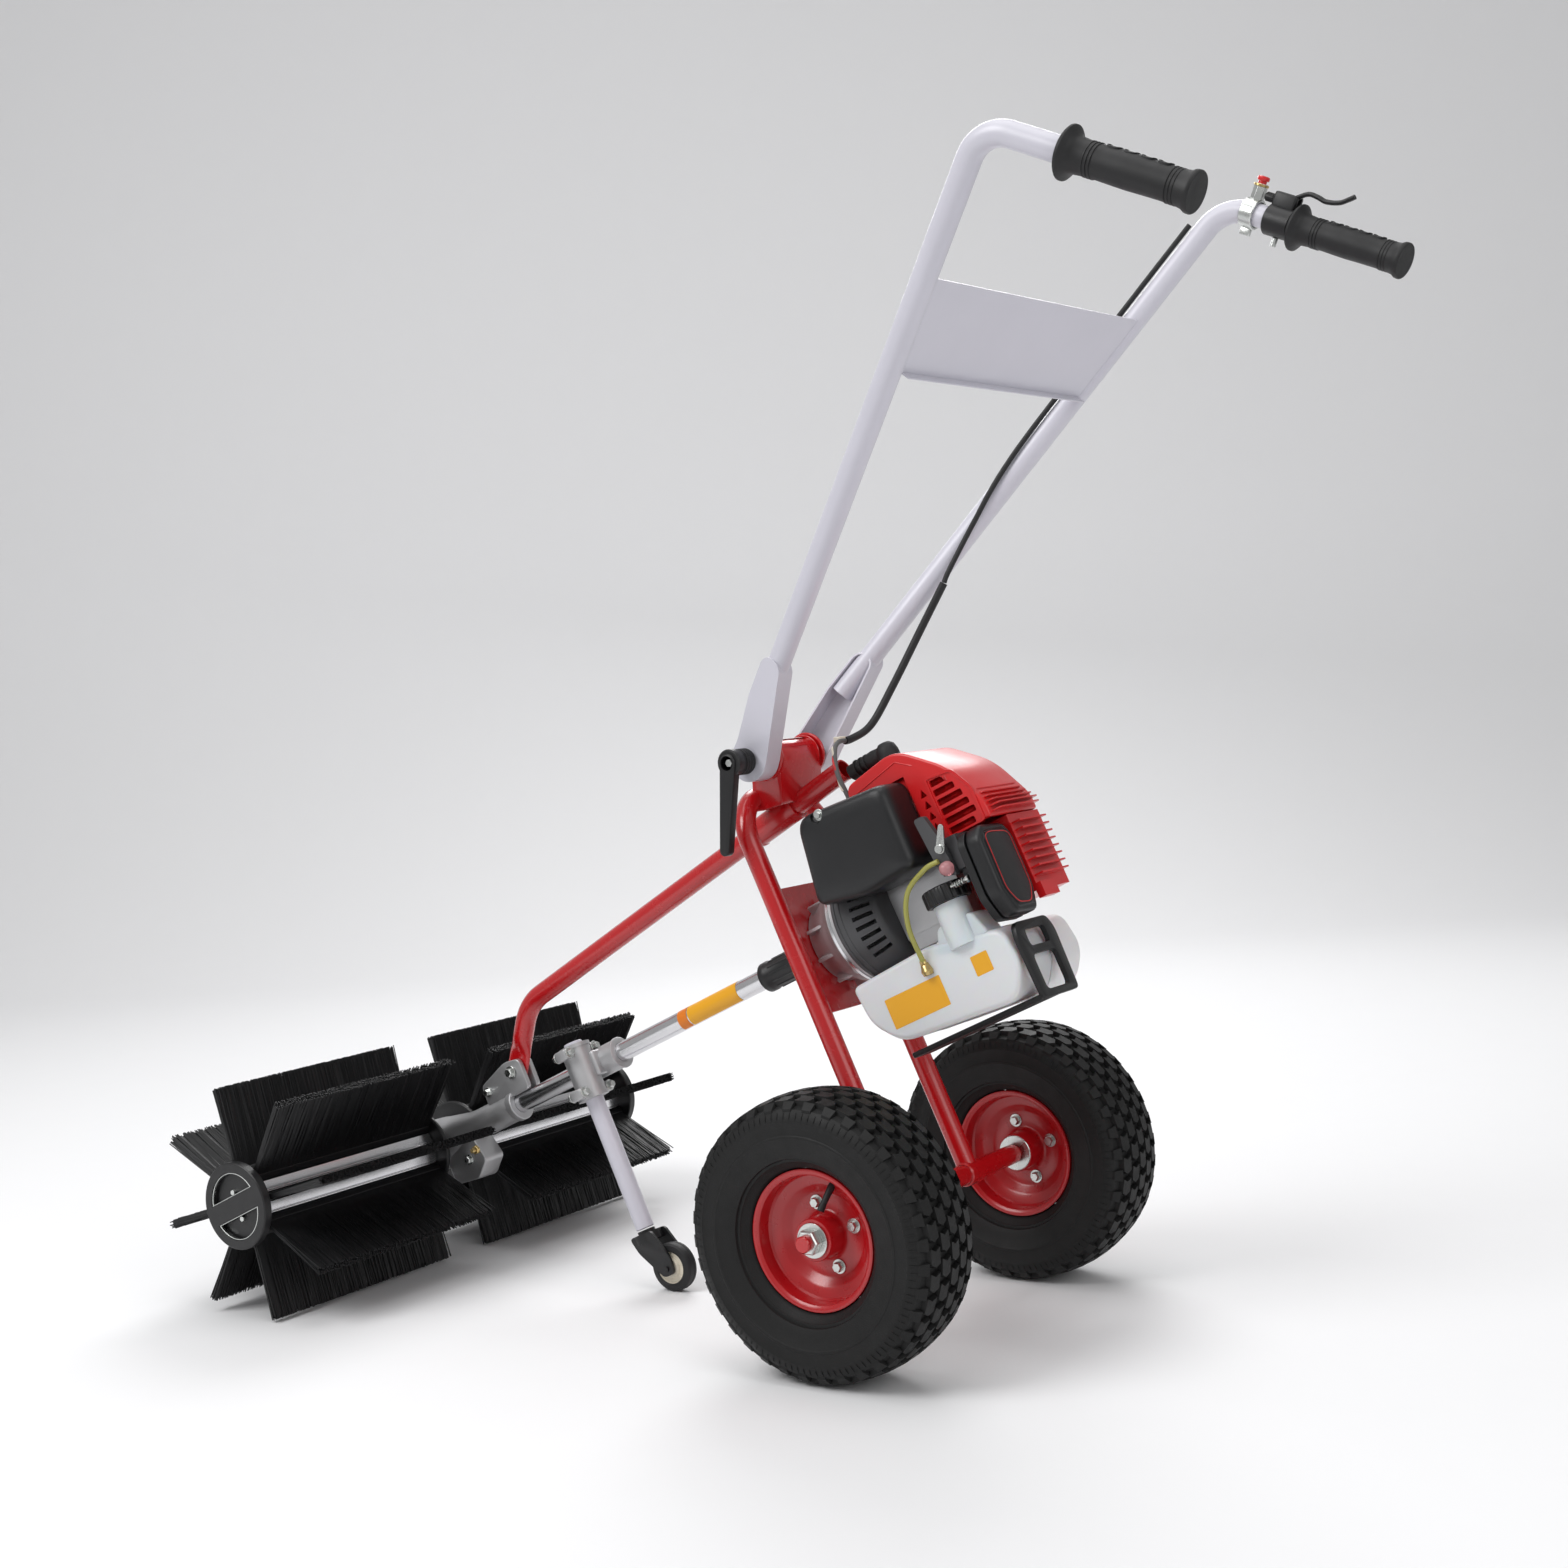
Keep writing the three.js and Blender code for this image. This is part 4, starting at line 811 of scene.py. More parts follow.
def gearbox():
    socket = lathe(
        "y",
        [
            (13.3, -607), (21.6, -607), (22.5, -608), (22.5, -617), (21.5, -618.5), (20.5, -619),
            (20.5, -690), (13.3, -690),
        ],
        56,
    )
    neck = lathe(
        "y",
        [
            (0, -716), (20.5, -690), (21.5, -704), (24, -716), (29, -740), (33, -760), (34, BRUSH_A),
            (0, BRUSH_A),
        ],
        56,
    )
    head = lathe(
        "x",
        [
            (0, -31), (30, -31), (31, -30), (31, -28), (35.5, -28), (37, -26.5), (37, 26.5), (35.5, 28),
            (31, 28), (31, 30), (30, 31), (0, 31),
        ],
        64, BRUSH_A, 0,
    )
    webs = [
        rod("x", -29.5, 29.5, 4.2, BRUSH_A + 35 * cos(t), 35 * sin(t), 16, 0.6)
        for t in (pi * (0.25 + k / 2) for k in range(4))
    ]
    ear = rounded([(-655, 12), (-572, 12), (-572, 56), (-600, 60), (-655, 44)], 8)
    ears = [softened(slab(ear, x, x + 7.6), 1.2) for x in (5.6, -13.2)]
    foot = softened(
        slab(rounded([(-762, -64), (-716, -70), (-690, -50), (-700, -14), (-762, -14)], 6), -19, 19), 2.0,
    )
    return join(socket, neck, head, *webs, *ears, foot)


piece("gearbox_housing", gearbox(), LINE, CAST, "gearbox_housing", sharp=38)
piece(
    "gearbox_bolts",
    join(
        hex_head("x", 31, 8, 3.5, BRUSH_A, 24), hex_head("x", 31, 8, 3.5, BRUSH_A, -24),
        hex_head("x", 13.4, 10, 5, -646, 33, 7), hex_head("x", 19, 11, 5, -720, -40, 7.5),
    ),
    LINE, ZINC, edge=0.3,
)
piece(
    "grease_nipple",
    join(hex_head("x", 19, 13, 5, -700, -32), rod("x", 23, 30, 3.6, -700, -32, 20, 0.8)),
    LINE, BRASS, edge=0.3,
)


# ------------------------------------------------------------------ brush
def strip_angle(i):
    return BRUSH_PHASE - SLOPE + 2 * pi * i / STRIPS


def core():
    half, slot = pi / STRIPS, 0.15
    outline = []
    for i in range(STRIPS):
        for depth, offset in (
            (0, -half), (0, -slot - 0.03), (-2.5, -slot), (-4, -slot + 0.03), (-4, slot - 0.03),
            (-2.5, slot), (0, slot + 0.03),
        ):
            t, r = strip_angle(i) + offset, CORE_R + depth
            if abs(offset) == half:
                r -= 1.6
            outline.append(Vector((r * cos(t), r * sin(t))))
    bar = slab(outline, BRUSH_IN + 4, BRUSH_OUT)
    grooves = [
        rod("x", BRUSH_IN, BRUSH_OUT + 5, 1.2, 37 * cos(t), 37 * sin(t), 8)
        for t in (strip_angle(i) + half * 0.62 for i in range(STRIPS))
    ]
    return shifted(cut(bar, rod("x", 0, 400, 29.4), *grooves), 0, BRUSH_A, 0)


def holders():
    """The moulded rail that grips each strip's roots, and the collar at the strip's inner end."""
    rails = []
    for i in range(STRIPS):
        outline = rounded(
            [
                (CORE_R - 3.4, -4.6), (CORE_R + 2, -5.2), (CORE_R + 9, -3.6), (CORE_R + 9, 3.6),
                (CORE_R + 2, 5.2), (CORE_R - 3.4, 4.6),
            ],
            1, 3,
        )
        rail = slab(outline, BRUSH_IN + 2, BRUSH_OUT - 0.5)
        rails.append(turned(rail, strip_angle(i)))
    collar = lathe("x", [(12.5, 34.6), (55, 34.6), (57, 36.6), (57, 39), (55, 41), (12.5, 41)], 56)
    return shifted(join(*rails, collar), 0, BRUSH_A, 0)


def filaments():
    """Packed nylon filaments, each a thin tapering rod with its own slight lean."""
    rng = random.Random(5)
    bm = bmesh.new()
    root, tip = CORE_R + 6, BRUSH_R
    for i in range(STRIPS):
        turn = Matrix.Rotation(strip_angle(i), 3, "X")
        for row in range(-2, 3):
            count = 210
            for k in range(count):
                x = BRUSH_IN + 3 + (BRUSH_OUT - BRUSH_IN - 6) * (k + rng.uniform(0.1, 0.9)) / count
                lean_x, lean_t = rng.gauss(0, 2.2), row * 2.5 + rng.gauss(0, 0.9)
                lean_t = max(-5.8, min(5.8, lean_t))
                length = tip - rng.uniform(0, 2.2)
                reach = min(max(x + lean_x, BRUSH_IN - 2), BRUSH_OUT - 0.5)
                bow = rng.gauss(0, 0.8)
                stations = (
                    (x, root, row * 0.9),
                    ((x + reach) / 2, (root + length) / 2, row * 0.95 + lean_t * 0.35 + bow),
                    (reach, length, lean_t),
                )
                loops = []
                for (px, r, t), size in zip(stations, (1.0, 1.0, 0.85)):
                    loops.append([
                        bm.verts.new(turn @ Vector((px + size * cos(a), r, t + size * sin(a))))
                        for a in (0.5, 0.5 + 2 * pi / 3, 0.5 + 4 * pi / 3)
                    ])
                for a, b in zip(loops, loops[1:]):
                    for j in range(3):
                        n = (j + 1) % 3
                        bm.faces.new((a[j], a[n], b[n], b[j]))
                bm.faces.new(loops[0][::-1])
                bm.faces.new(loops[-1])
    packs = []
    for i in range(STRIPS):
        pack = slab(
            [(root - 3, -2.6), (tip - 5, -4.2), (tip - 5, 4.2), (root - 3, 2.6)],
            BRUSH_IN + 3, BRUSH_OUT - 3,
        )
        packs.append(turned(pack, strip_angle(i)))
    return shifted(join(bm, *packs), 0, BRUSH_A, 0)


def end_disc():
    face = BRUSH_OUT + 0.3
    profile = [
        (0, face - 14), (28.6, face - 14), (28.6, face), (55.5, face), (57, face + 1.5), (57, face + 11.5),
        (55.5, face + 13), (0, face + 13),
    ]
    disc = lathe("x", profile, 80)
    outline = spun(0.3, pi - 0.3, 24, 44)
    tools = [turned(slab(outline, face + 5, face + 20), flip) for flip in (0, pi)]
    return shifted(cut(disc, *tools), 0, BRUSH_A, 0)


def disc_trays():
    """The bright edges round the disc's two recesses, and the screws in them."""
    face = BRUSH_OUT + 0.3
    parts = []
    for flip in (0, pi):
        outer = spun(0.31, pi - 0.31, 24, 43.6)
        inner = [p * 0.94 + Vector((0, 1.7)) for p in outer]
        tray = cut(slab(outer, face + 9, face + 12), slab(inner, face, face + 20))
        parts.append(turned(tray, flip))
    for z in (-18, 18):
        parts.append(hex_head("x", face + 5.1, 8, 4, 0, z))
    return shifted(join(*parts), 0, BRUSH_A, 0)


pair("brush_core", core, LINE, ALUMINIUM, "brush_core", body="brush", edge=0.4, sharp=24)
pair("strip_holders", holders, LINE, BLACK, body="brush")
pair("bristles", filaments, LINE, BRISTLE, "bristles", body="brush", sharp=60)
pair("end_disc", end_disc, LINE, BLACK, "end_disc", body="brush", edge=0.5)
pair("disc_trays", disc_trays, LINE, ZINC, body="brush", edge=0.2)


# ------------------------------------------------------------------ caster and its clamp
POST_X, POST_A, POST_R = 27, -456, 12.5
POST_TOP, POST_FOOT = 38, -226
wheel_at = LINE.inverted() @ middle("caster_wheel")


def clamp():
    """The cross clamp: one barrel round the post, one round the drive tube, split and bolted."""
    barrel = cut(
        rod("z", -42, 34, 20, POST_X, POST_A, 48, 1.2), rod("z", -60, 60, POST_R + 0.2, POST_X, POST_A, 48),
    )
    lips = [
        lathe("z", [(14, u), (21.5, u), (21.5, u + 5), (14, u + 5)], 48, POST_X, POST_A)
        for u in (-41.5, 28.5)
    ]
    around = lathe(
        "y",
        [
            (13.2, -455.4), (19, -455.4), (20, -454.4), (20, -408), (21.5, -407), (21.5, -405), (20, -404),
            (13.2, -404),
        ],
        48,
    )
    flanges = [
        softened(block(POST_X - 33, POST_X + 33, POST_A - 10.6, POST_A + 10.6, u, u + 14), 2.5)
        for u in (-39, 17)
    ]
    web = softened(block(-6, POST_X, POST_A + 1, POST_A + 26, -17, 17), 3)
    body = join(*[cut(f, rod("z", -60, 60, POST_R + 0.4, POST_X, POST_A, 32)) for f in flanges], web)
    body = cut(
        body, rod("y", -600, -300, TUBE_R + 0.2, 0, 0, 32),
        rod("z", -60, 60, POST_R + 0.2, POST_X, POST_A, 32),
    )
    return join(barrel, *lips, around, body)


piece("cross_clamp", clamp(), LINE, CAST, "clamp_body", "clamp_cap", sharp=38)
piece(
    "clamp_bolts",
    join(*[
        hex_head("y", POST_A + side * 10.6, 10, side * 6, u + 7, x, 7.5)
        for side in (-1, 1) for u in (-39, 17) for x in (POST_X - 26, POST_X + 26)
    ]),
    LINE, ZINC, edge=0.3,
)
piece(
    "caster_post",
    cut(
        rod("z", POST_FOOT, POST_TOP, POST_R, POST_X, POST_A, 48, 0.8),
        rod("z", POST_TOP - 30, POST_TOP + 5, POST_R - 2, POST_X, POST_A, 48),
    ),
    LINE, GREY, "caster_post", body="caster_post",
)
refined("caster_fork", BLACK, body="caster_fork", edge=1.6)


def caster_tyre():
    w = 10
    profile = [
        (21, -w + 1), (23, -w), (29, -w + 1), (31.4, -w + 3.5), (32, -w + 7), (32, -2.4), (31.4, -1.8),
        (31.4, 1.8), (32, 2.4), (32, w - 7), (31.4, w - 3.5), (29, w - 1), (23, w), (21, w - 1),
    ]
    return moved(lathe("x", profile, 64), Matrix.Translation(wheel_at))


def caster_hub():
    w = 10
    profile = [
        (4, -w), (12, -w), (13, -w + 1.5), (14, -w + 4), (19, -w + 4), (21, -w + 1.2), (21, w - 1.2),
        (19, w - 4), (14, w - 4), (13, w - 1.5), (12, w), (4, w),
    ]
    disc = lathe("x", profile, 48)
    spokes = [turned(block(-w + 3, w - 3, 12, 20.5, -1.3, 1.3), t) for t in turns(6)]
    return moved(join(disc, *spokes), Matrix.Translation(wheel_at))


piece("caster_tyre", caster_tyre(), LINE, RUBBER, "caster_wheel", body="caster_wheel")
piece("caster_hub", caster_hub(), LINE, CREAM, body="caster_wheel", sharp=40)


# ------------------------------------------------------------------ engine: bell, fan case, covers
def clutch_bell():
    bands = [
        (48, -18.4), (50, -17.4), (50, -12), (52, -6.5), (56, 2), (60, 8), (62.5, 14), (66, 25), (68, 26.5),
        (70, 27.5), (70, 37.6),
    ]
    inner = [(62, 37.6), (56, 20), (43, -6), (28, -6), (28, -18.4)]
    bell = lathe("y", bands + inner, 96)
    ribs = [turned(block(-2, 2, -12, 24, 48, 61), t, "Y") for t in turns(10)]
    lobes = [
        rod("y", 24, 37.4, 7, 63 * cos(t), 63 * sin(t), 24, 1.0)
        for t in (pi / 4 + pi * k / 2 for k in range(4))
    ]
    return join(bell, *ribs, *lobes)


piece("clutch_bell", clutch_bell(), LINE, CAST, "clutch_housing", sharp=36)
piece(
    "bell_band", lathe("y", [(69.6, 28.6), (70.6, 29), (70.6, 32.4), (69.6, 32.8)], 96), LINE, ALUMINIUM,
)


def fan_case():
    outer = [
        (66, 38.5), (72.4, 38.5), (73, 39.2), (73.4, 44), (74, 60), (73, 68), (70, 80), (66, 90), (62, 97),
        (56, 100), (40, 102),
    ]
    shell = lathe("y", outer + [(14, 102), (14, 97), (56, 94), (66, 78)], 96)
    slots = [
        turned(block(20, 90, 66, 92, -2.6, 2.6), radians(first + 10 * i), "Y")
        for first in (-24, 156) for i in range(7)
    ]
    ribs = [lathe("y", [(73.6, a), (74.6, a + 0.6), (74.6, a + 2.4), (73.6, a + 3)], 96) for a in (42, 50)]
    return join(cut(shell, *slots), *ribs)


FAN_ROOM = (20, 112, 75.5, 0, 0, 72)  # a cylinder kept clear for the fan case
SEAM_ROOM = (20, 112, 75.7, 0, 0, 72)

piece("fan_case", fan_case(), LINE, DARK_CAST, "fan_case", sharp=36)
refined("flywheel", CAST, body="flywheel", edge=0.5)
refined("drive_shaft", ZINC, body="drive_shaft", edge=0.3)
refined("brush_shaft", ZINC, body="brush", edge=0.4)
refined("crankcase", CAST, edge=1.5)
refined("cylinder", CAST, edge=0.4)
refined("muffler", ZINC, edge=1.5)

SHROUD_L, SHROUD_R, SHROUD_FRONT, SHROUD_REAR, SHROUD_LOW = 54, -58, 112, 286, 42


def shroud_outline(margin, steps=6):
    low = SHROUD_LOW - 10 if margin > 0 else SHROUD_LOW
    m = margin
    corners = [
        (SHROUD_FRONT + m, low, 4), (SHROUD_FRONT + 6 + m, 154 - m, 12), (200, 166 - m, 22),
        (258 - m, 118 - m, 22), (SHROUD_REAR - m, 62, 12), (SHROUD_REAR - m, low, 4),
    ]
    return rounded(corners, 7, steps)


def engine_shroud():
    shell = softened(slab(shroud_outline(0), SHROUD_R, SHROUD_L), 5.0, 4, 60)
    room = slab(shroud_outline(3.5), SHROUD_R + 3.5, SHROUD_L - 3.5)
    tools = [room]
    for i in range(4):
        low = 56 + 14 * i
        tools.append(
            slab(rounded([(209, low), (219, low), (214, low + 10)], 1.2, 2), SHROUD_L - 8, SHROUD_L + 5)
        )
    for i, end in enumerate((266, 272, 268, 264, 258, 248)):
        low = 44 + 12 * i
        outline = [
            (228, low, 1.5), (end, low, 1.5), (end, low + 8, 3 if i < 5 else 7.5), (228, low + 8, 1.5),
        ]
        tools.append(slab(rounded(outline, 1.5, 3), SHROUD_L - 8, SHROUD_L + 5))
    tools.append(block(30, 60, 100, 199, 30, 132))
    tools.append(rod("z", 120, 180, 12.5, 0, 160, 32))
    return cut(shell, *tools)


def shroud_details():
    """The grille's raised frame, the comb of cooling fins behind it and the crease beside them."""
    rim = cut(
        slab(
            rounded([(223, 41), (279, 41), (279, 84), (262, 114), (223, 118)], 6),
            SHROUD_L - 2, SHROUD_L + 1.6,
        ),
        slab(
            rounded([(226, 43.5), (275.5, 43.5), (275.5, 83), (259.5, 111), (226, 115)], 4),
            SHROUD_L - 6, SHROUD_L + 6,
        ),
    )
    fins = []
    for i in range(9):
        end = SHROUD_REAR + 13 - 5.2 * max(0, i - 1)
        outline = rounded([(-48, end - 30), (46, end - 30), (46, end, 5), (-48, end, 5)], 1.5, 3)
        fins.append(plate(outline, 47 + 6.4 * i, 48.6 + 6.4 * i))
    crease = sweep(
        [
            (SHROUD_L - 0.5, 120, 48), (SHROUD_L + 0.1, 126, 140), (SHROUD_L + 0.1, 196, 152),
            (SHROUD_L - 0.4, 216, 138),
        ],
        0.9, 10,
    )
    return join(rim, *fins, crease)


piece("engine_shroud", engine_shroud(), LINE, RED_PLASTIC, "engine_shroud", sharp=34)
piece("shroud_details", shroud_details(), LINE, RED_PLASTIC, edge=0.4)


def muffler_cover():
    """A thin pressed box with a domed face, cut round the fan case, with a pocket for its screw."""
    outline = rounded([(46, 34, 12), (64, 142, 22), (198, 129, 16), (196, 24, 12), (120, 18, 18)], 12, 8)
    middle = Vector((130, 80))

    def dome(stations):
        return skin([[(x, *(middle + (p - middle) * k)) for p in outline] for x, k in stations])

    face = [
        (84, 1.0), (93, 0.992), (99, 0.97), (103, 0.935), (105.6, 0.88), (107.2, 0.79), (108.4, 0.62),
        (109, 0.4), (109.2, 0.15),
    ]
    hollow = dome([(50, 0.955), (84, 0.955), (95, 0.93), (100, 0.86)])
    clear = rod("y", *FAN_ROOM)
    pocket = rod("x", 99.5, 125, 9.5, 98, 132, 40)
    return cut(dome([(55, 1.0), *face]), hollow, clear, pocket)


piece("muffler_cover", muffler_cover(), LINE, SATIN, "muffler_cover", edge=0.5, sharp=34)
piece("cover_screw", hex_head("x", 99, 9, 3.2, 98, 132, 7.2), LINE, ZINC, edge=0.3)


def plug_boot():
    cap = lathe(
        "z",
        [
            (0, 139.6), (8, 139.6), (8.4, 156), (13, 158), (14.4, 168), (14.2, 178), (12, 186), (7.5, 190),
            (0, 191.4),
        ],
        40, 0, 160,
    )
    elbow = sweep(
        [(0, 160, 178), (0, 140, 179), (0, 120, 179), (0, 106, 177.5), (0, 102, 177)],
        lambda s: 9.6 + 1.2 * sin(9 * s), 32,
    )
    ribs = [
        lathe("y", [(8, a), (11.4, a + 0.6), (11.4, a + 2.6), (8, a + 3.2)], 40, 178, 0)
        for a in (112, 120, 128)
    ]
    return join(cap, elbow, *ribs)


piece("plug_boot", plug_boot(), LINE, RUBBER, "spark_plug_boot", sharp=50)

refined("carburettor", DARK_CAST, edge=1.2)
refined("air_cleaner_base", BLACK, edge=0.8)


def cleaner_outline(margin):
    w = 39 - margin
    points = [
        (-w, 20, 8), (-w + 12, 34 - margin, 6), (w - 14, 36 - margin, 8), (w - 2, 22, 7), (w, -44, 8),
        (w - 14, -74 + margin, 8), (-w + 14, -76 + margin, 8), (-w + 1, -46, 8),
    ]
    return [Vector((p.x + 58, p.y)) for p in rounded(points, 6, 5)]


def cleaner_cover():
    shell = softened(sheet(cleaner_outline(0), 262.4, 284), 5.5, 5, 50)
    panel = softened(sheet(cleaner_outline(9), 280, 285.4), 1.6, 3, 50)
    return cut(join(shell, panel), sheet(cleaner_outline(3.5), 255, 279))


def cleaner_trim():
    """The thin red line inside the cover's edge."""
    stations = [(10.5, 285), (10.5, 285.8), (11.5, 285.8), (11.5, 285)]
    return skin([[(p.x, a, p.y) for p in cleaner_outline(margin)] for margin, a in stations], closed=True)


piece("cleaner_cover", cleaner_cover(), LINE, SATIN, "air_cleaner_cover", sharp=34)
piece("cleaner_trim", cleaner_trim(), LINE, RED_PLASTIC)
refined("starter_housing", RED_PLASTIC, edge=1.4)


def starter_grip():
    bar = lathe(
        "y", [(0, 206), (4.5, 206), (6.5, 208.5), (6.2, 224), (6.5, 239.5), (4.5, 242), (0, 242)],
        32, 12, -74,
    )
    stem = rod("x", -70, -65.6, 7.6, 224, 12, 32, 1)
    rope = rod("x", -66, -50, 2.1, 224, 12, 16)
    return join(bar, stem, rope)


piece("starter_grip", starter_grip(), LINE, BLACK, "starter_grip", body="starter_grip")

TANK_WALL = 76
NECK_X, NECK_A = 64, 196


def fuel_tank():
    outline = rounded(
        [
            (28, -68, 10), (34, -118, 16), (66, -152, 18), (232, -164, 20), (258, -128, 18), (250, -80, 16),
            (150, -62, 10),
        ],
        14, 6,
    )
    body = softened(slab(outline, -TANK_WALL, TANK_WALL), 13.0, 6, 40)
    shoulder = softened(
        slab(rounded([(158, -80), (170, -48), (222, -48), (234, -80)], 8, 5), 38, 74), 5.0, 4, 50,
    )
    neck = rod("z", -80, -27, 21, NECK_X, NECK_A, 56)
    body = cut(body, rod("y", *FAN_ROOM))
    return join(body, shoulder, neck)


piece("fuel_tank", fuel_tank(), LINE, TANK, "fuel_tank", sharp=46)
seam = rounded(
    [
        (27.6, -67.6, 10), (33.4, -118.4, 16), (65.6, -152.6, 18), (232.5, -164.6, 20), (258.7, -128, 18),
        (250.6, -79.4, 16), (150, -61.4, 10),
    ],
    14, 6,
)
seam_inner = [Vector((p.x * 0.985 + 2.2, p.y * 0.985 - 1.7)) for p in seam]
piece("tank_seam", cut(slab(seam, -0.9, 0.9), slab(seam_inner, -3, 3), rod("y", *SEAM_ROOM)), LINE, TANK)


def fuel_cap():
    points = [(27.6 + 0.8 * (1 if k % 6 < 3 else -0.4), t) for k, t in enumerate(turns(120))]
    rings = []
    for u, scale in ((-26.4, 0.97), (-25.2, 1.0), (-10, 1.0), (-7.6, 0.96), (-6.2, 0.86)):
        rings.append([
            (NECK_X + r * scale * cos(t), NECK_A + r * scale * sin(t), u) for r, t in points
        ])
    shell = cut(skin(rings), rod("z", -30, -12, 21.5, NECK_X, NECK_A, 48))
    top = lathe(
        "z", [(0, -6.4), (18, -6.4), (19, -6), (18, -5.4), (8, -5.4), (0, -5.4)], 48, NECK_X, NECK_A,
    )
    return join(shell, top)


piece("fuel_cap", fuel_cap(), LINE, BLACK, "fuel_cap", body="fuel_cap", sharp=30)


def tank_guard():
    board = sheet(
        rounded(
            [(-10, -174, 7), (72, -174, 7), (76, -96, 10), (68, -81, 7), (-4, -81, 7), (-14, -96, 10)],
            7, 5,
        ),
        260, 267,
    )
    windows = [
        sheet(rounded([(8, -112), (54, -112), (54, -92), (8, -92)], 6, 4), 255, 272),
        sheet(rounded([(4, -165), (58, -165), (58, -122), (4, -122)], 8, 4), 255, 272),
    ]
    rail = softened(block(10, 52, 56, 264, -173, -166), 2.0)
    return join(softened(cut(board, *windows), 1.2, 2, 50), rail)


piece("tank_guard", tank_guard(), LINE, BLACK, "tank_guard", sharp=34)
hose = [(92, 220, 18), (95, 200, 16), (98, 168, 0), (96, 150, -36), (80, 140, -84)]
piece("fuel_line", sweep(spline(hose, 14), 3.1, 24), LINE, HOSE, "fuel_line")
piece(
    "hose_grommet",
    join(
        shifted(
            lathe("z", [(2.6, -8), (6, -8), (7.5, -3), (6.5, 0), (5, 6), (3.3, 8)], 32), 79.4, 139.8, -86,
        ),
        shifted(lathe("z", [(3.2, -3), (4.2, -2.4), (4.2, 2.4), (3.2, 3)], 24), 81.5, 140.6, -78),
    ),
    LINE, BRASS,
)
refined("choke_lever", ZINC, body="choke_lever", edge=0.3)
piece(
    "primer_bulb",
    lathe(
        "x",
        [
            (0, 88.4), (8.8, 88.4), (9, 89.2), (8.8, 91), (8.2, 94), (6.8, 97.4), (4.2, 99.9), (2, 100.8),
            (0, 101),
        ],
        40, 226, 6,
    ),
    LINE, PRIMER, "primer_bulb", body="primer_bulb",
)


def idle_screw():
    """The idle screw under its spring."""
    coil = [(84 + 3.6 * cos(t), 222 + t * 0.55, -14 + 3.6 * sin(t)) for t in (k * 0.35 for k in range(90))]
    return join(
        sweep(coil, 0.7, 8), rod("y", 218, 244, 2.2, -14, 84, 16),
        rod("y", 240, 245, 4.4, -14, 84, 24, 0.8),
    )


piece("idle_screw", idle_screw(), LINE, ZINC)


# ------------------------------------------------------------------ handle
RISE, REACH = (CORNER - FOOT).normalized(), (END - CORNER).normalized()
RISE_SIDE = atan2(RISE.z, RISE.y)
LEAN = RISE.x / hypot(RISE.y, RISE.z)


def on_grip(distance):
    """The grip line's frame at a distance from the bend: local Y along the grip."""
    turn = Y.rotation_difference(REACH).to_matrix().to_4x4()
    return Matrix.Translation(CORNER + REACH * distance) @ turn


def handle_way():
    return bent([FOOT, CORNER, CORNER + REACH * (GRIP_START + GRIP_LENGTH - 6)], HANDLE_BEND, 14)


def handle_tube():
    return sweep(handle_way(), HANDLE_R, 40, 2)


def channel():
    """The folded channel that wraps the tube's lower end and turns on the pivot."""
    inner, outer, wall, knee, grasp = 51.5, 80.6, 2.6, 12, 46
    base = Vector((PIVOT[0], PIVOT[1]))
    way = Vector((cos(RISE_SIDE), sin(RISE_SIDE)))
    start = Vector((FOOT.y, FOOT.z))
    across = Vector((-way.y, way.x))

    def outline(trim):
        circles = [(base.x, base.y, 26 - trim)]
        circles += [((start + way * d).x, (start + way * d).y, 15.6 - trim) for d in (0, grasp)]
        return strap(circles, 48)

    section = cut(slab(outline(0), inner, outer), slab(outline(wall), inner - 5, outer - wall))
    # slices keep the sheet's faces short enough to follow the knee
    for k in range(1, 12):
        at = base + way * (8 * k)
        bmesh.ops.bisect_plane(
            section, geom=section.verts[:] + section.edges[:] + section.faces[:],
            plane_co=(0, at.x, at.y), plane_no=(0, way.x, way.y),
        )
    for v in section.verts:
        along = (Vector((v.co.y, v.co.z)) - base).dot(way)
        v.co.x += max(0.0, along - knee) * LEAN
    return section


def handle_side():
    return join(handle_tube(), channel())


pair("handle_tube", handle_side, MACHINE, GREY, "handle_tube", body="handle", edge=0.4, sharp=36)


def grip():
    bore = HANDLE_R + 0.3
    outline = [
        (bore, 0), (26.5, 0), (28, 1.4), (28, 3.6), (26.5, 5), (23, 7), (20, 10), (18.6, 14), (17.9, 22),
        (17.5, 30),
        (17.3, 40), (17.8, 60), (18.0, 74), (17.6, 92), (17.4, 112), (17.8, 128), (19, 136), (21.2, 140),
        (21.5, 142),
        (21.5, 144.5), (20.5, 146), (17, 146), (0, 146), (0, 142), (bore, 142),
    ]
    body = lathe("y", outline, 64)
    rings = [
        lathe("y", [(17, a), (18.3, a + 0.5), (18.3, a + 1.7), (17, a + 2.2)], 64)
        for a in (26, 30, 34, 118, 122, 126)
    ]
    pads = []
    for k in range(4):
        start = 42 + 19 * k
        outline = rounded([(-8, start), (8, start), (8, start + 14), (-8, start + 14)], 5, 6)
        inner = [Vector((p.x * 0.82, (p.y - start - 7) * 0.80 + start + 7)) for p in outline]
        ring = cut(plate(outline, 10, 19.6), plate(inner, 5, 25))
        floor = plate(inner, 10, 18.5)
        pads.append(keep(ring, lathe("y", [(0, 20), (19.1, 20), (19.1, 125), (0, 125)], 64)))
        pads.append(keep(floor, lathe("y", [(0, 20), (18.4, 20), (18.4, 125), (0, 125)], 64)))
    return moved(join(body, *rings, *pads), on_grip(GRIP_START))


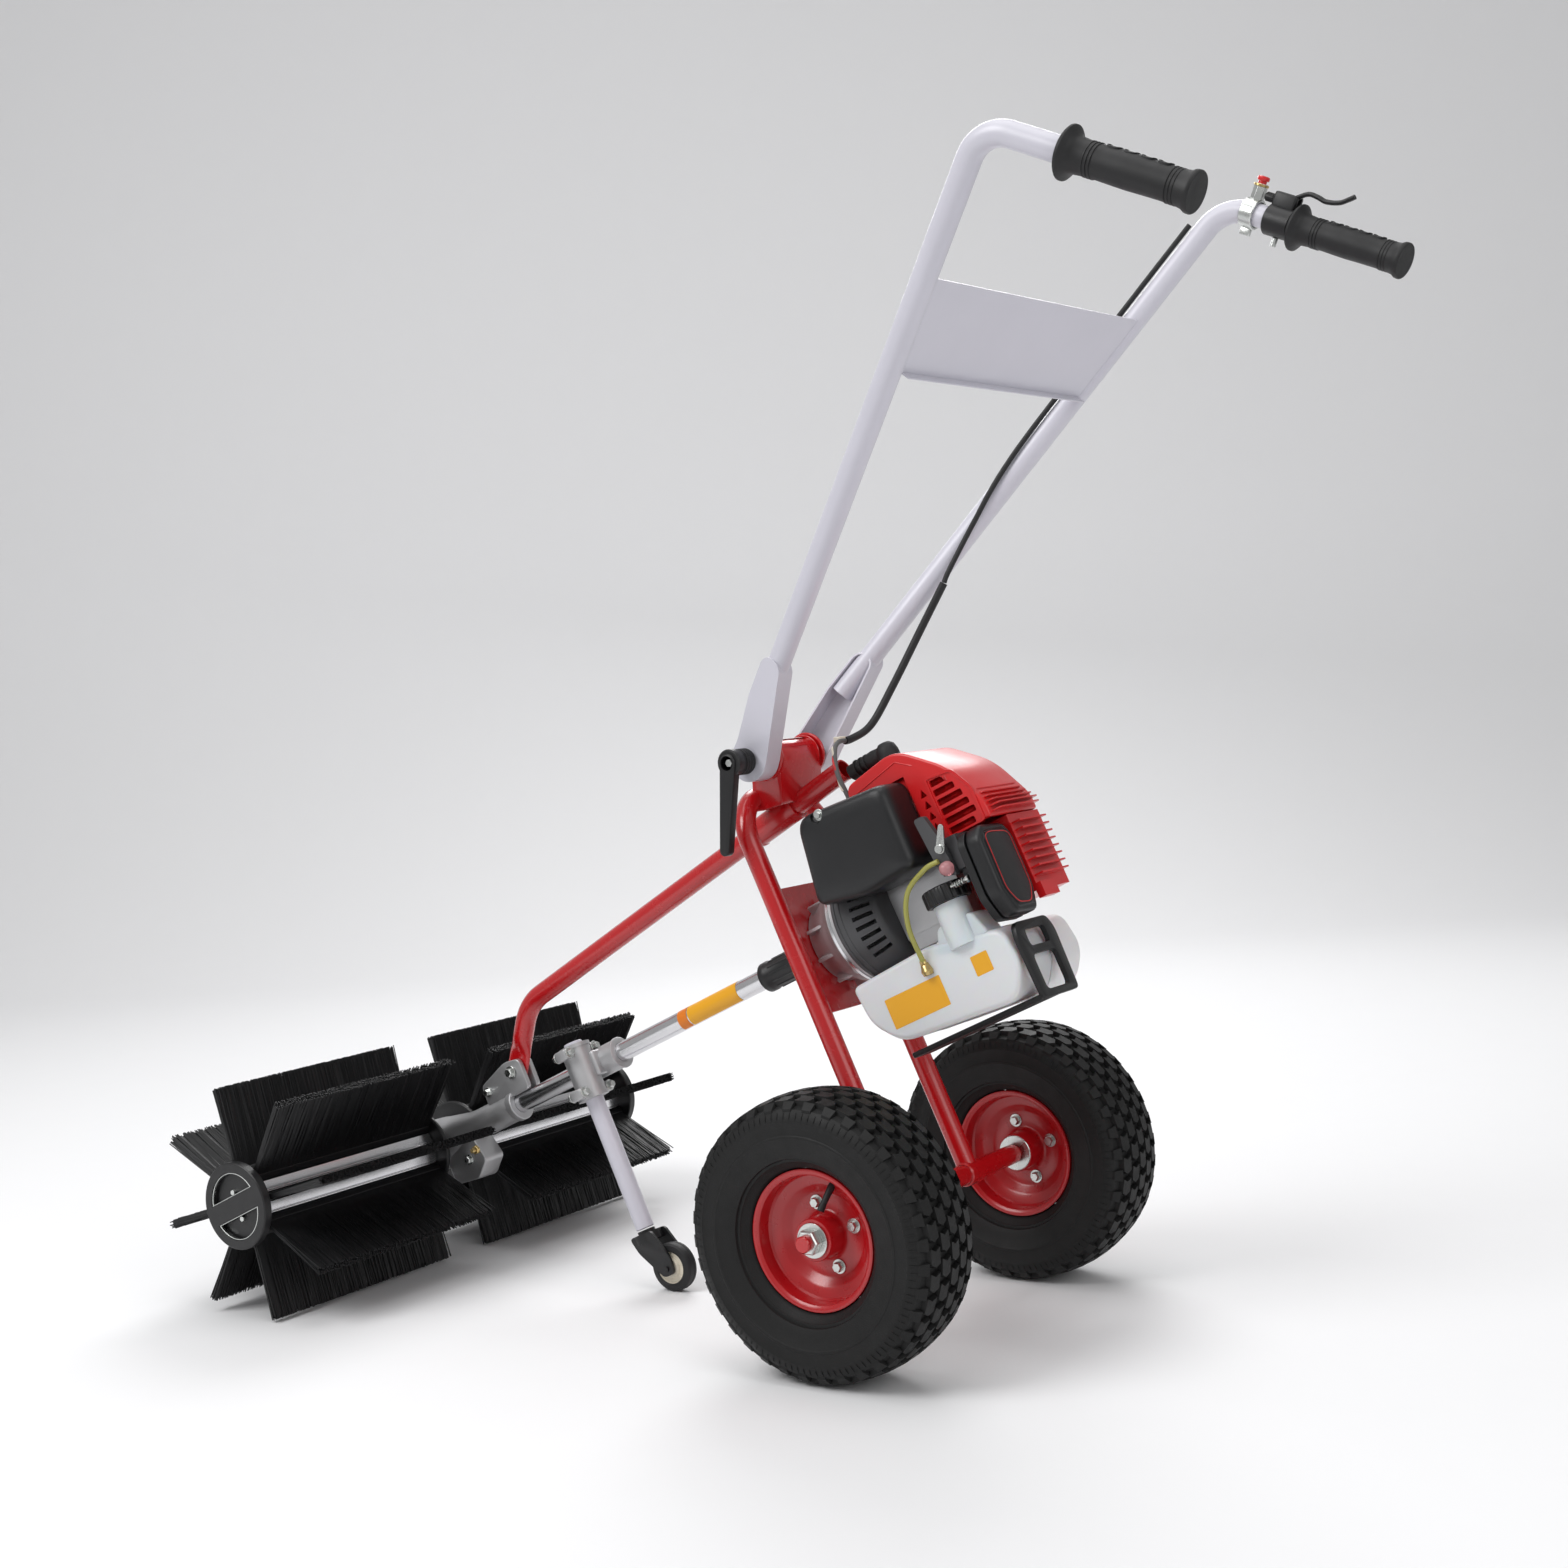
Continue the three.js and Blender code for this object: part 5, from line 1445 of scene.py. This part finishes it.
pair("grip", grip, MACHINE, RUBBER, "grip", body="handle", sharp=34)


def cross_plate():
    low, high, below, inset = 454, 567, 8, 11
    half = lambda d: FOOT.x + LEAN * d - inset
    outline = [(-half(low), low), (half(low), low), (half(high), high), (-half(high), high)]
    face = plate(outline, -below - 1, -below + 1)
    lip = softened(block(-half(low), half(low), low, low + 2, -below - 12, -below + 1), 0.9, 2)
    tools = [sweep(handle_way(), HANDLE_R + 0.3, 32)]
    tools.append(mirrored(tools[0].copy()))
    turn = Matrix.Translation((0, FOOT.y, FOOT.z)) @ Matrix.Rotation(RISE_SIDE, 4, "X")
    return cut(moved(join(face, lip), turn), *tools)


piece("cross_plate", cross_plate(), MACHINE, GREY, "cross_plate", body="handle", edge=0.5)


def clamp_lever():
    y, z = PIVOT
    hub = cut(
        lathe(
            "x",
            [
                (0, 83), (13.5, 83), (15.2, 85), (15.5, 87), (15.5, 108), (16.8, 110), (16.8, 120),
                (15, 122), (0, 122),
            ],
            56, y, z,
        ),
        rod("x", 60, 105, 8.4, y, z, 32),
        rod("x", 117, 130, 9, y, z, 32),
    )
    arm = softened(slab(strap([(y, z, 11.5), (y - 12, z - 106, 7)], 32), 110.5, 125.5), 3.4, 4, 50)
    arm = cut(arm, rod("x", 117, 130, 9, y, z, 32))
    groove = [rod("x", 87 + 5 * k, 88.2 + 5 * k, 16.1, y, z, 56, 0.4) for k in range(4)]
    bore = rod("x", 60, 105, 8.4, y, z, 32)
    return join(hub, arm, cut(join(*groove), bore))


piece("clamp_lever", clamp_lever(), MACHINE, BLACK, "clamp_lever", body="clamp_lever", sharp=40)
piece("lever_screw", hex_head("x", 117.2, 11, 4, *PIVOT), MACHINE, ZINC, body="clamp_lever", edge=0.4)
refined("pivot_bolt", ZINC, edge=0.6)

# ------------------------------------------------------------------ right-hand controls
PERCH_AT, SWITCH_AT = 79, 38
FLIP = Matrix.Scale(-1, 4, X)


def on_right(bm, distance):
    return moved(moved(bm, on_grip(distance)), FLIP)


def lever_perch():
    bore = rod("y", -60, 60, HANDLE_R + 0.5, 0, 0, 40)
    collar = lathe("y", [(14.6, -17), (18, -17), (19, -16), (19, 16), (18, 17), (14.6, 17)], 48)
    housing = softened(block(-9, 11, -17, 14, 12, 34), 3.2, 3)
    housing = cut(housing, bore, block(-3.4, 5.4, -6, 40, 19, 40))
    adjuster = lathe(
        "y", [(0, -31), (3.4, -31), (4.6, -30), (5, -29), (5, -18), (4, -16), (0, -16)], 32, 24, 0,
    )
    knurl = [
        shifted(turned(block(-0.5, 0.5, -29, -19, 4.6, 5.6), t, "Y"), 0, 0, 24) for t in turns(16)
    ]
    return on_right(join(collar, housing, adjuster, *knurl), PERCH_AT)


piece("lever_perch", lever_perch(), MACHINE, BLACK, "lever_perch", body="handle", sharp=38)
piece(
    "perch_screw",
    on_right(join(rod("z", -30, -19, 3.6, 0, 0, 24, 0.6), hex_head("x", 10.8, 8, 3, 2, 27)), PERCH_AT),
    MACHINE, ZINC, body="handle", edge=0.2,
)


def throttle_lever():
    """A flat cast lever that curves out of its block, dips and rises at the tip."""
    way = spline(
        [
            (1, 4, 28), (1, 20, 39.4), (1, 34, 39.6), (1, 46, 37.4), (1, 62, 40.4), (1, 72, 46.6),
            (1, 79, 52),
        ],
        8,
    )
    rings = []
    for i, (point, (_, side, up)) in enumerate(zip(way, frames(way))):
        share = i / (len(way) - 1)
        thick = 3.0 if share > 0.1 else 4.2 - 12 * share
        wide = 3.5 + 0.9 * sin(pi * share) + (0.8 if share > 0.85 else 0)
        lift = X.cross((way[min(i + 1, len(way) - 1)] - way[max(i - 1, 0)]).normalized())
        rings.append([
            point + X * (wide * cos(t)) + lift * (thick * sin(t)) for t in turns(28)
        ])
    return on_right(skin(rings), PERCH_AT)


piece("throttle_lever", throttle_lever(), MACHINE, BLACK, "throttle_lever", body="throttle_lever", sharp=60)


def switch_body():
    bore = rod("y", -60, 60, HANDLE_R + 1.4, 0, 0, 40)
    band = lathe("y", [(15.4, -9), (17.6, -9), (18.5, -8), (18.5, 8), (17.6, 9), (15.4, 9)], 48)
    post = cut(
        skin(
            [
                [(8.5 * k * c.x, 8.5 * k * c.y, u) for c in circle(1, 6)]
                for u, k in ((14, 1), (34, 1), (36, 0.9))
            ]
        ),
        rod("z", 20, 60, 5.6, 0, 0, 32), bore,
    )
    ears = cut(softened(block(-3, 3, -7, 7, -27, -16), 1.5), bore)
    return on_right(join(band, post, ears), SWITCH_AT)


piece("switch_body", switch_body(), MACHINE, ZINC, "switch_body", body="handle", edge=0.3)
piece(
    "switch_collar",
    on_right(
        lathe("z", [(5.8, 32.6), (8.8, 32.6), (9.4, 33.2), (9.4, 34.9), (8.8, 35.5), (5.8, 35.5)], 40),
        SWITCH_AT,
    ),
    MACHINE, BRASS, body="handle",
)
piece(
    "kill_button",
    on_right(
        lathe(
            "z",
            [
                (0, 24), (5.2, 24), (5.2, 39.6), (7, 39.6), (7.5, 40.4), (7.5, 43.2), (6.6, 44.6),
                (4, 45.2), (0, 45.3),
            ],
            48,
        ),
        SWITCH_AT,
    ),
    MACHINE, RED_PLASTIC, "kill_button", body="kill_button",
)

# the throttle cable held along the right tube, then its sleeve down to the engine
SLEEVE_TOP = Vector((-120, -14, 899))
SLEEVE_DOWN = Vector((0.3, -0.3, -0.9)).normalized()


def cable_way():
    front = Vector((0, -RISE.z, RISE.y)).normalized()
    inward = front.cross(RISE)
    points = []
    stations = [
        (715, 0.85), (620, 0.8), (500, 0.7), (400, 0.6), (350, 0.4), (312, 0.1), (278, -0.25), (250, -0.5),
    ]
    for distance, share in stations:
        point = FOOT + RISE * distance + (front * share + inward * sqrt(1 - share * share)) * 19
        points.append(Vector((-point.x, point.y, point.z)))
    return spline([*points, SLEEVE_TOP - SLEEVE_DOWN * 14, SLEEVE_TOP], 8)


piece("throttle_cable", sweep(cable_way(), 3.3, 20), MACHINE, RUBBER, "throttle_cable", body="handle")

sleeve_points = [
    SLEEVE_TOP + SLEEVE_DOWN, (-108, -42, 846), (-80, -72, 775), (-56, -92, 728), (-30, -106, 712),
    (-4, -107, 710), (20, -98, 700), (35, -86, 674), (34, -72, 643),
]


def sleeve_part(start, end, radius, offset=(0, 0, 0), wobble=0.0, turns=0.0):
    """A wire or tube along a share of the sleeve's route, beside it by an offset."""
    way = spline(sleeve_points, 12)
    first, last = int(start * (len(way) - 1)), int(end * (len(way) - 1))
    run = way[first:last + 1]
    shifted_run = []
    for i, point in enumerate(run):
        phase = turns * 2 * pi * i / max(len(run) - 1, 1)
        shifted_run.append(point + Vector(offset) + Vector((wobble * cos(phase), 0, wobble * sin(phase))))
    return sweep(shifted_run, radius, 16)


def tie_across(name, bm, look, *nodes):
    """A held run that leaves the chassis and ends on the handle."""
    obj = piece(name, bm, MACHINE, look, *nodes, body=None, sharp=60)
    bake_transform(obj)
    return obj


tie_across("cable_sleeve", sleeve_part(0.0, 0.56, 4.9), RUBBER, "cable_sleeve")
tie_across("braid_lower", sleeve_part(0.5, 1.0, 3.0), WIRE_GREY)
tie_across("wire_white", sleeve_part(0.5, 0.97, 1.4, (0, -2, 1), 2.6, 2.0), CREAM)
tie_across("wire_red", sleeve_part(0.5, 0.97, 1.4, (0, -1, 0), 2.8, 1.5), WIRE_RED)
piece(
    "wire_connector", shifted(softened(block(-8, 8, -5, 5, -4, 4), 1.2), -14, -112, 712),
    MACHINE, CREAM,
)

# ------------------------------------------------------------------ labels: plain generic patches
def tube_label(start, end, first, last):
    """A thin patch wrapped part of the way round the drive tube."""
    rings = []
    for a in (start, end):
        outside = [(TUBE_R + 0.35, t) for t in (first + (last - first) * k / 24 for k in range(25))]
        inside = [(TUBE_R + 0.05, t) for _, t in reversed(outside)]
        rings.append([(r * cos(t), a, r * sin(t)) for r, t in outside + inside])
    return skin(rings)


piece("tube_label", tube_label(-268, -180, -1.2, 1.6), LINE, LABEL_YELLOW)
piece("tube_band", tube_label(-286, -270, -1.2, 1.6), LINE, LABEL_ORANGE)


def tank_patch(corners, x):
    """A plain sticker on the tank's left wall."""
    return slab(rounded(corners, 1.5, 3), x - 0.3, x + 0.35)


tank_label = tank_patch([(66, -135), (150, -135), (150, -98), (66, -98)], TANK_WALL)
tank_sticker = tank_patch([(198, -120), (222, -120), (222, -96), (198, -96)], TANK_WALL)
piece("tank_label", tank_label, LINE, LABEL_YELLOW)
piece("tank_sticker", tank_sticker, LINE, LABEL_YELLOW)


# ------------------------------------------------------------------ floor, lights, camera
YAW, PITCH, ROLL = (radians(v) for v in (35.177, 3.069, -3.327))
CAMERA_AT, LENS = Vector((2283.3, 1418.7, 809.4)), 51.29  # in MACHINE, and in mm
FLOOR_TURN = radians(90 + 35.2)  # square to the camera, so the floor's sweep is behind the machine


def floor():
    size, back = 9.0, 3.2
    bm = bmesh.new()
    count, rise = 24, 1.2
    profile = [(-size, 0.0)] + [
        (back + rise * sin(t), rise - rise * cos(t))
        for t in (pi / 2 * k / count for k in range(count + 1))
    ]
    profile.append((back + rise, 6.0))
    turn = Matrix.Rotation(FLOOR_TURN, 4, "Z")
    rows = [[bm.verts.new(turn @ Vector((x, y, z))) for y, z in profile] for x in (-size, size)]
    for i in range(len(profile) - 1):
        bm.faces.new((rows[0][i], rows[1][i], rows[1][i + 1], rows[0][i + 1]))
    obj = _object(bm, "studio_floor")
    obj.data.shade_smooth()
    obj.data.materials.append(FLOOR)


FLOOR = material("studio_white", None, (0.86, 0.86, 0.87), 0.7, 0.0, (40, 0.01), 0.01, 0.04)
floor()


def light(name, place, aim, size, power):
    data = bpy.data.lights.new(name, "AREA")
    data.shape = "DISK"
    data.size, data.energy = size, power
    obj = bpy.data.objects.new(name, data)
    obj.location = place
    obj.rotation_euler = (Vector(aim) - Vector(place)).to_track_quat("-Z", "Y").to_euler()
    bpy.context.scene.collection.objects.link(obj)


light("key", (2.6, -1.2, 3.2), (0, 0, 0.5), 2.2, 78)
light("fill", (1.2, 3.2, 2.2), (0, 0.1, 0.6), 2.6, 26)
light("back", (-2.6, -1.4, 2.8), (0, 0, 0.6), 2.4, 60)
light("top", (0.2, 0.2, 4.2), (0, 0, 0), 3.0, 40)
world = bpy.data.worlds.new("studio")
bpy.context.scene.world = world
world.use_nodes = True
sky = world.node_tree.nodes["Background"].inputs
sky["Color"].default_value = (1, 1, 1, 1)
sky["Strength"].default_value = 0.40
bpy.context.scene.view_settings.view_transform = "Standard"

forward = Vector((-cos(YAW) * cos(PITCH), -sin(YAW) * cos(PITCH), -sin(PITCH)))
level = forward.cross(Z).normalized()
upright = level.cross(forward)
right = level * cos(ROLL) + upright * sin(ROLL)
above = upright * cos(ROLL) - level * sin(ROLL)
lens = bpy.data.cameras.new("camera")
lens.sensor_width, lens.lens = 36, LENS
lens.clip_end = 50
camera = bpy.data.objects.new("camera", lens)
view = Matrix((right, above, -forward)).transposed().to_4x4()
view.translation = MACHINE @ CAMERA_AT
camera.matrix_world = view
bpy.context.scene.collection.objects.link(camera)
bpy.context.scene.camera = camera
